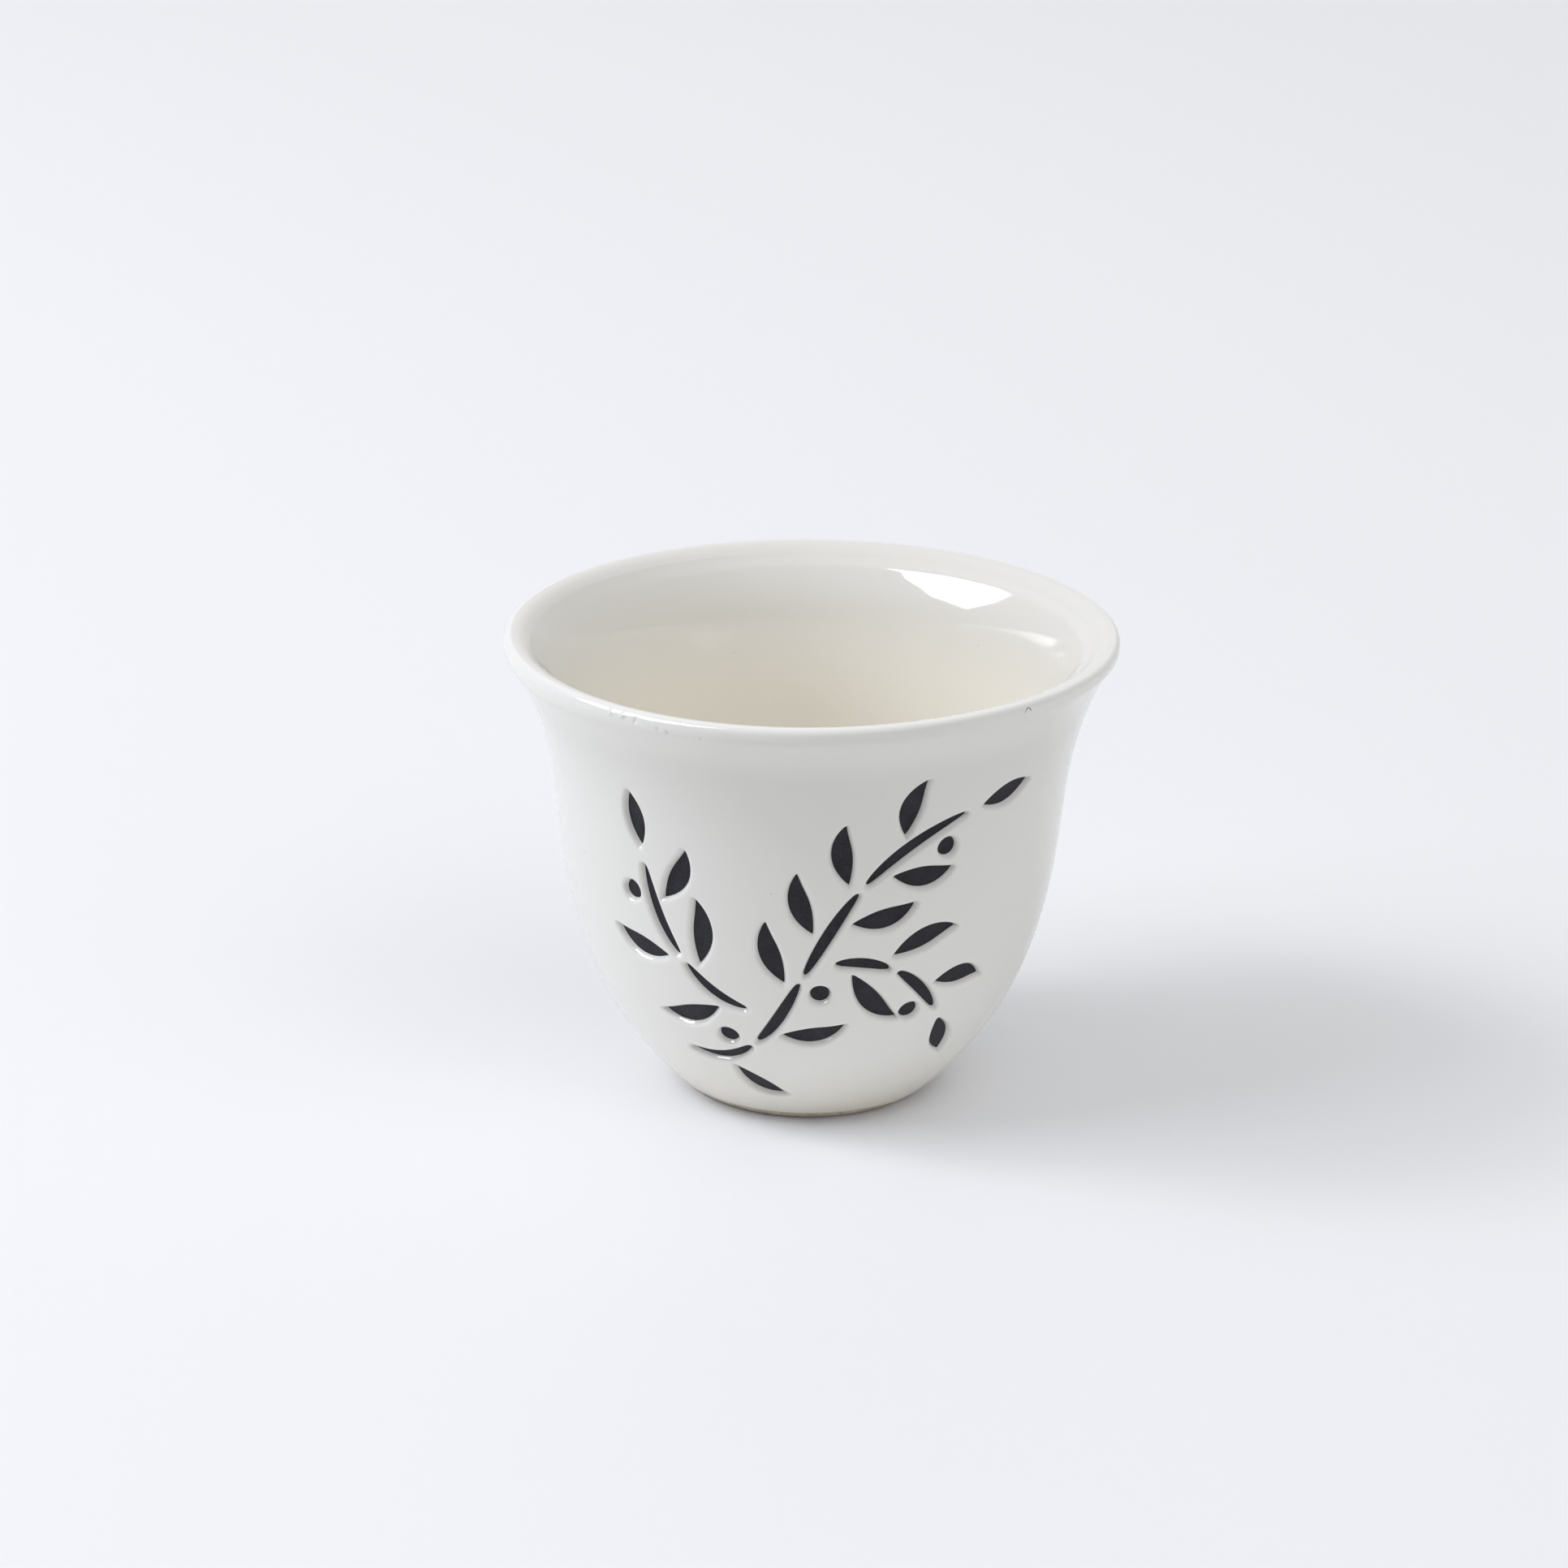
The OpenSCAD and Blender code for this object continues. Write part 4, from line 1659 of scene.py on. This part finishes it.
@dataclass
class Inlays:
    """The charcoal that lies on the floor of each stroke."""

    form: CupForm
    strokes: list[Stroke]
    steps: int = 41
    across: int = 7
    floor_points: int = 2250
    floor_skip: int = 10
    floor_sides: int = 360
    sharp_angle: float = 40.0

    def build(self, form_tree: bpy.types.NodeTree, finish: bpy.types.Material) -> None:
        """Makes and hands over every inlay.

        Args:
            form_tree: The geometry tree turned_form, for the floor that the inlays lie on.
            finish: The charcoal.
        """
        stroke_tree = laid_stroke_tree()
        outside = self.form.outside()[: self.floor_points : self.floor_skip]
        floor_line = moved_in(outside, self.form.stroke_depth)
        floor_mesh = turned_mesh(form_tree, "stroke_floor", floor_line, self.floor_sides, finish)
        floor = placed("stroke_floor", floor_mesh)
        for stroke in self.strokes:
            plane = WallFrame(self.form, stroke)
            ends = [(float(x) * MM, float(y) * MM, 0.0) for x, y in stroke.line]
            values = {
                **dict(zip(("Start", "First Handle", "Second Handle", "End"), ends)),
                "Width": stroke.width * MM,
                "Fullness": stroke.fullness,
                "Round": 1.0 if stroke.is_round else 0.0,
                "Steps": self.steps,
                "Across": self.across,
                "Thickness": self.form.inlay_t * MM,
                "Place": tuple(plane.origin * MM),
                "Turn": tuple(plane.turn.to_euler("XYZ")),
                "Out": tuple(plane.axes[2]),
                "Floor": floor,
                "Finish": finish,
            }
            name = f"{stroke.name}_laid"
            mesh = grown(stroke_tree, name, values)
            mesh.polygons.foreach_set("use_smooth", [True] * len(mesh.polygons))
            mesh.set_sharp_from_angle(angle=math.radians(self.sharp_angle))
            hand_over(placed(name, mesh), [stroke.name])
        bpy.data.objects.remove(floor)


# The stage


@dataclass(frozen=True)
class Camera:
    """The photograph's camera, found from the cup's outlines."""

    target: tuple[float, float, float] = (-2.761, 0.0, 33.126)
    down: float = 19.99
    roll: float = 0.71
    distance: float = 600.0
    lens: float = 129.30
    sensor: float = 36.0
    sight: tuple[float, float] = (0.01, 20.0)

    def place(self) -> None:
        """Makes the camera and gives it to the scene."""
        data = bpy.data.cameras.new("camera")
        data.lens, data.sensor_width = self.lens, self.sensor
        data.clip_start, data.clip_end = self.sight
        camera = placed("camera", data)
        a, roll = math.radians(self.down), math.radians(self.roll)
        ahead = Vector((0, math.cos(a), -math.sin(a)))
        up, right = Vector((0, math.sin(a), math.cos(a))), Vector((1, 0, 0))
        leaned_right = right * math.cos(roll) + up * math.sin(roll)
        leaned_up = up * math.cos(roll) - right * math.sin(roll)
        turn = Matrix((leaned_right, leaned_up, -ahead)).transposed().to_4x4()
        spot = Vector(self.target) * MM - ahead * self.distance * MM
        camera.matrix_world = Matrix.Translation(spot) @ turn
        bpy.context.scene.camera = camera


def direction(azimuth: float, elevation: float) -> np.ndarray:
    """The direction at an angle from the front (to the right positive) and above the table, in degrees."""
    a, e = math.radians(azimuth), math.radians(elevation)
    return np.array([math.sin(a) * math.cos(e), -math.cos(a) * math.cos(e), math.sin(e)])


@dataclass(frozen=True)
class Softbox:
    """A flat glowing cloth that faces the cup, drawn in the plane across its direction."""

    name: str
    azimuth: float
    elevation: float
    distance: float
    outline: tuple[tuple[float, float], ...]
    radiance: float
    core_radiance: float = 0.0
    core_at: tuple[float, float] = (0.0, 0.0)
    core_reach: float = 0.12
    shine: float = 18.0
    colour: Colour = (1.0, 1.0, 1.0)
    aim: tuple[float, float, float] = (0.0, 0.0, 30.0)

    def place(self) -> None:
        """Makes the cloth."""
        a, out = math.radians(self.azimuth), direction(self.azimuth, self.elevation)
        right = np.array([math.cos(a), math.sin(a), 0.0])
        up = np.cross(right, -out)
        spots = [
            np.array(self.aim) + self.distance * (out + x * right + y * up)
            for x, y in (*reversed(self.outline), self.core_at)
        ]
        cloth = make_piece(self.name, np.array(spots[:-1]), [tuple(range(len(self.outline)))])
        material, b, _ = new_material(self.name)
        back = b.node("ShaderNodeNewGeometry").outputs["Backfacing"]
        place = b.place()
        away = b.vector("DISTANCE", place, tuple(spots[-1] * MM))
        fall = b.math("POWER", b.over(away, self.core_reach * self.distance * MM), 2.0)
        core = b.times(b.math("EXPONENT", b.times(fall, -1.0)), self.core_radiance)
        shining = b.node("ShaderNodeLightPath").outputs["Is Glossy Ray"]
        even_part = b.plus(core, self.radiance)
        gain = b.times(b.minus(self.shine, even_part), shining)
        front = b.times(b.minus(1.0, back), b.plus(even_part, gain))
        light = b.node("ShaderNodeEmission", {"Color": (*self.colour, 1.0), "Strength": front})
        b.put(material.node_tree.nodes["Material Output"].inputs["Surface"], light.outputs[0])
        cloth.data.materials.append(material)


OCTAGON = (
    (0.24, 0.44), (0.03, 0.29), (-0.43, 0.14), (-0.47, -0.09),
    (-0.29, -0.24), (0.0, -0.38), (0.26, -0.21), (0.33, 0.11),
)


@dataclass(frozen=True)
class Stage:
    """The pale floor, the light round the cup, and the lamps."""

    floor_colour: Colour = (0.835, 0.846, 0.87)
    floor_reach: float = 2500.0
    floor_roughness: float = 0.6
    floor_specular: float = 0.2
    floor_glow: Colour = (0.018, 0.020, 0.032)
    # Colour of the floor for diffuse rays: painted bounce light, with painted shade beyond the front edge.
    bounce_colour: Colour = (0.97, 0.97, 0.95)
    front_edge: float = -95.0
    front_fade: float = 90.0
    front_bounce: float = 0.10
    sky: Colour = (1.012, 1.005, 0.985)
    room: Colour = (0.98, 0.98, 1.0)
    room_base: float = 0.1
    backdrop: float = 0.87
    room_glows: tuple[tuple[float, float, float, float], ...] = ((180, 10, 2, 0.75),)
    glows: tuple[tuple[float, float, float, float], ...] = (
        (45, 50, 6, 1.81), (105, 15, 8, 0.14), (135, 15, 8, 0.51),
        (180, 15, 8, 0.89), (225, 15, 8, 0.44), (270, 50, 6, 0.86),
    )
    lamps: tuple[Softbox, ...] = (
        Softbox(
            name="key_softbox",
            azimuth=-76,
            elevation=40,
            distance=1400.0,
            outline=OCTAGON,
            radiance=3.7,
            core_radiance=13.3,
            core_at=(-0.17, 0.045),
            colour=(0.962, 0.982, 1.035),
        ),
    )

    def build(self) -> None:
        """Makes the floor, the world and the lamps, and sets the view."""
        for lamp in self.lamps:
            lamp.place()
        self._floor()
        self._world()
        bpy.context.scene.view_settings.view_transform = "Standard"

    def _floor(self) -> None:
        """A pale floor that keeps the cup's shadow; for diffuse rays its colour is a painted bounce light
        that fades to painted shade in front.
        """
        corners = [[-1, -1, 0], [1, -1, 0], [1, 1, 0], [-1, 1, 0]]
        floor = make_piece("floor", self.floor_reach * np.array(corners), [(0, 1, 2, 3)])
        material, b, surface = new_material("pale_floor")
        path = b.node("ShaderNodeLightPath").outputs
        # The colour that diffuse rays meet is painted light: a brighter bounce than the floor shows,
        # darkened beyond the front edge as painted shade that sends less light to the cup's lower front.
        depth = b.parts(b.place())["Y"]
        past = b.over(b.minus(self.front_edge * MM, depth), self.front_fade * MM, clamp=True)
        kept = b.minus(1.0, b.times(past, 1.0 - self.front_bounce))
        bounce = b.vector("SCALE", self.bounce_colour, kept)
        look = {
            "Base Color": b.mix(path["Is Diffuse Ray"], (*self.floor_colour, 1.0), bounce),
            "Roughness": self.floor_roughness,
            "Specular IOR Level": self.floor_specular,
        }
        b.fill(surface, look)
        seen = b.seen_directly(path)
        glow = b.node("ShaderNodeEmission", {"Color": (*self.floor_glow, 1.0), "Strength": seen})
        both = b.node("ShaderNodeAddShader", {0: surface.outputs[0], 1: glow.outputs[0]})
        b.put(material.node_tree.nodes["Material Output"].inputs["Surface"], both.outputs[0])
        floor.data.materials.append(material)

    def _world(self) -> None:
        """Soft glows all round; the camera sees an even pale backdrop, the glaze's reflections a room."""
        world = bpy.data.worlds.new("pale_room")
        bpy.context.scene.world = world
        world.use_nodes = True
        b = TreeBuilder(world.node_tree)
        toward = b.node("ShaderNodeTexCoord").outputs["Generated"]
        total = self._glow_sum(b, toward, self.glows, 0.0)
        shade = self._glow_sum(b, toward, self.room_glows, self.room_base)
        path = b.node("ShaderNodeLightPath").outputs
        seen = b.seen_directly(path)
        sky = b.node("ShaderNodeBackground", {"Color": (*self.sky, 1.0), "Strength": total})
        behind = b.times(b.minus(self.backdrop, shade), path["Is Camera Ray"])
        lit = b.plus(shade, behind)
        room = b.node("ShaderNodeBackground", {"Color": (*self.room, 1.0), "Strength": lit})
        mix = b.node("ShaderNodeMixShader", {0: seen, 1: sky.outputs[0], 2: room.outputs[0]})
        b.put(world.node_tree.nodes["World Output"].inputs["Surface"], mix.outputs[0])

    @staticmethod
    def _glow_sum(
        b: TreeBuilder, toward: Socket, glows: tuple, base: float
    ) -> Socket | float:
        """Brightness in a direction: a base and glows of given azimuth, elevation, focus and strength."""
        total: Socket | float = base
        for azimuth, elevation, focus, strength in glows:
            middle = b.vector("DOT_PRODUCT", toward, tuple(direction(azimuth, elevation)))
            away = b.minus(middle, 1.0)
            glow = b.math("EXPONENT", b.times(away, focus))
            total = b.plus(total, b.times(glow, strength))
        return total


def main() -> None:
    """Builds the cup's pieces, the stage and the camera."""
    logging.basicConfig(level=logging.INFO, format="%(name)s %(message)s")
    form = CupForm()
    sway = LipSway(form)
    strokes = Sprig(form).strokes()
    Camera().place()
    marks, grain = GlazeMarks().group(), FiredGrain().group()
    finishes = {
        Slot.WHITE_GLAZE: WHITE.material(marks, blemishes_group(form, sway)),
        Slot.CREAM_GLAZE: CREAM.material(marks),
        Slot.CHARCOAL: CHARCOAL.material(grain),
        Slot.FIRED_CLAY: BARE_CLAY.material(grain),
    }
    tree = turned_form_tree()
    TurnedPieces(form, sway).build(tree, finishes)
    OuterGlaze(form, sway, strokes).build(finishes[Slot.WHITE_GLAZE])
    Inlays(form, strokes).build(tree, finishes[Slot.CHARCOAL])
    Stage().build()


if __name__ == "__main__":
    main()
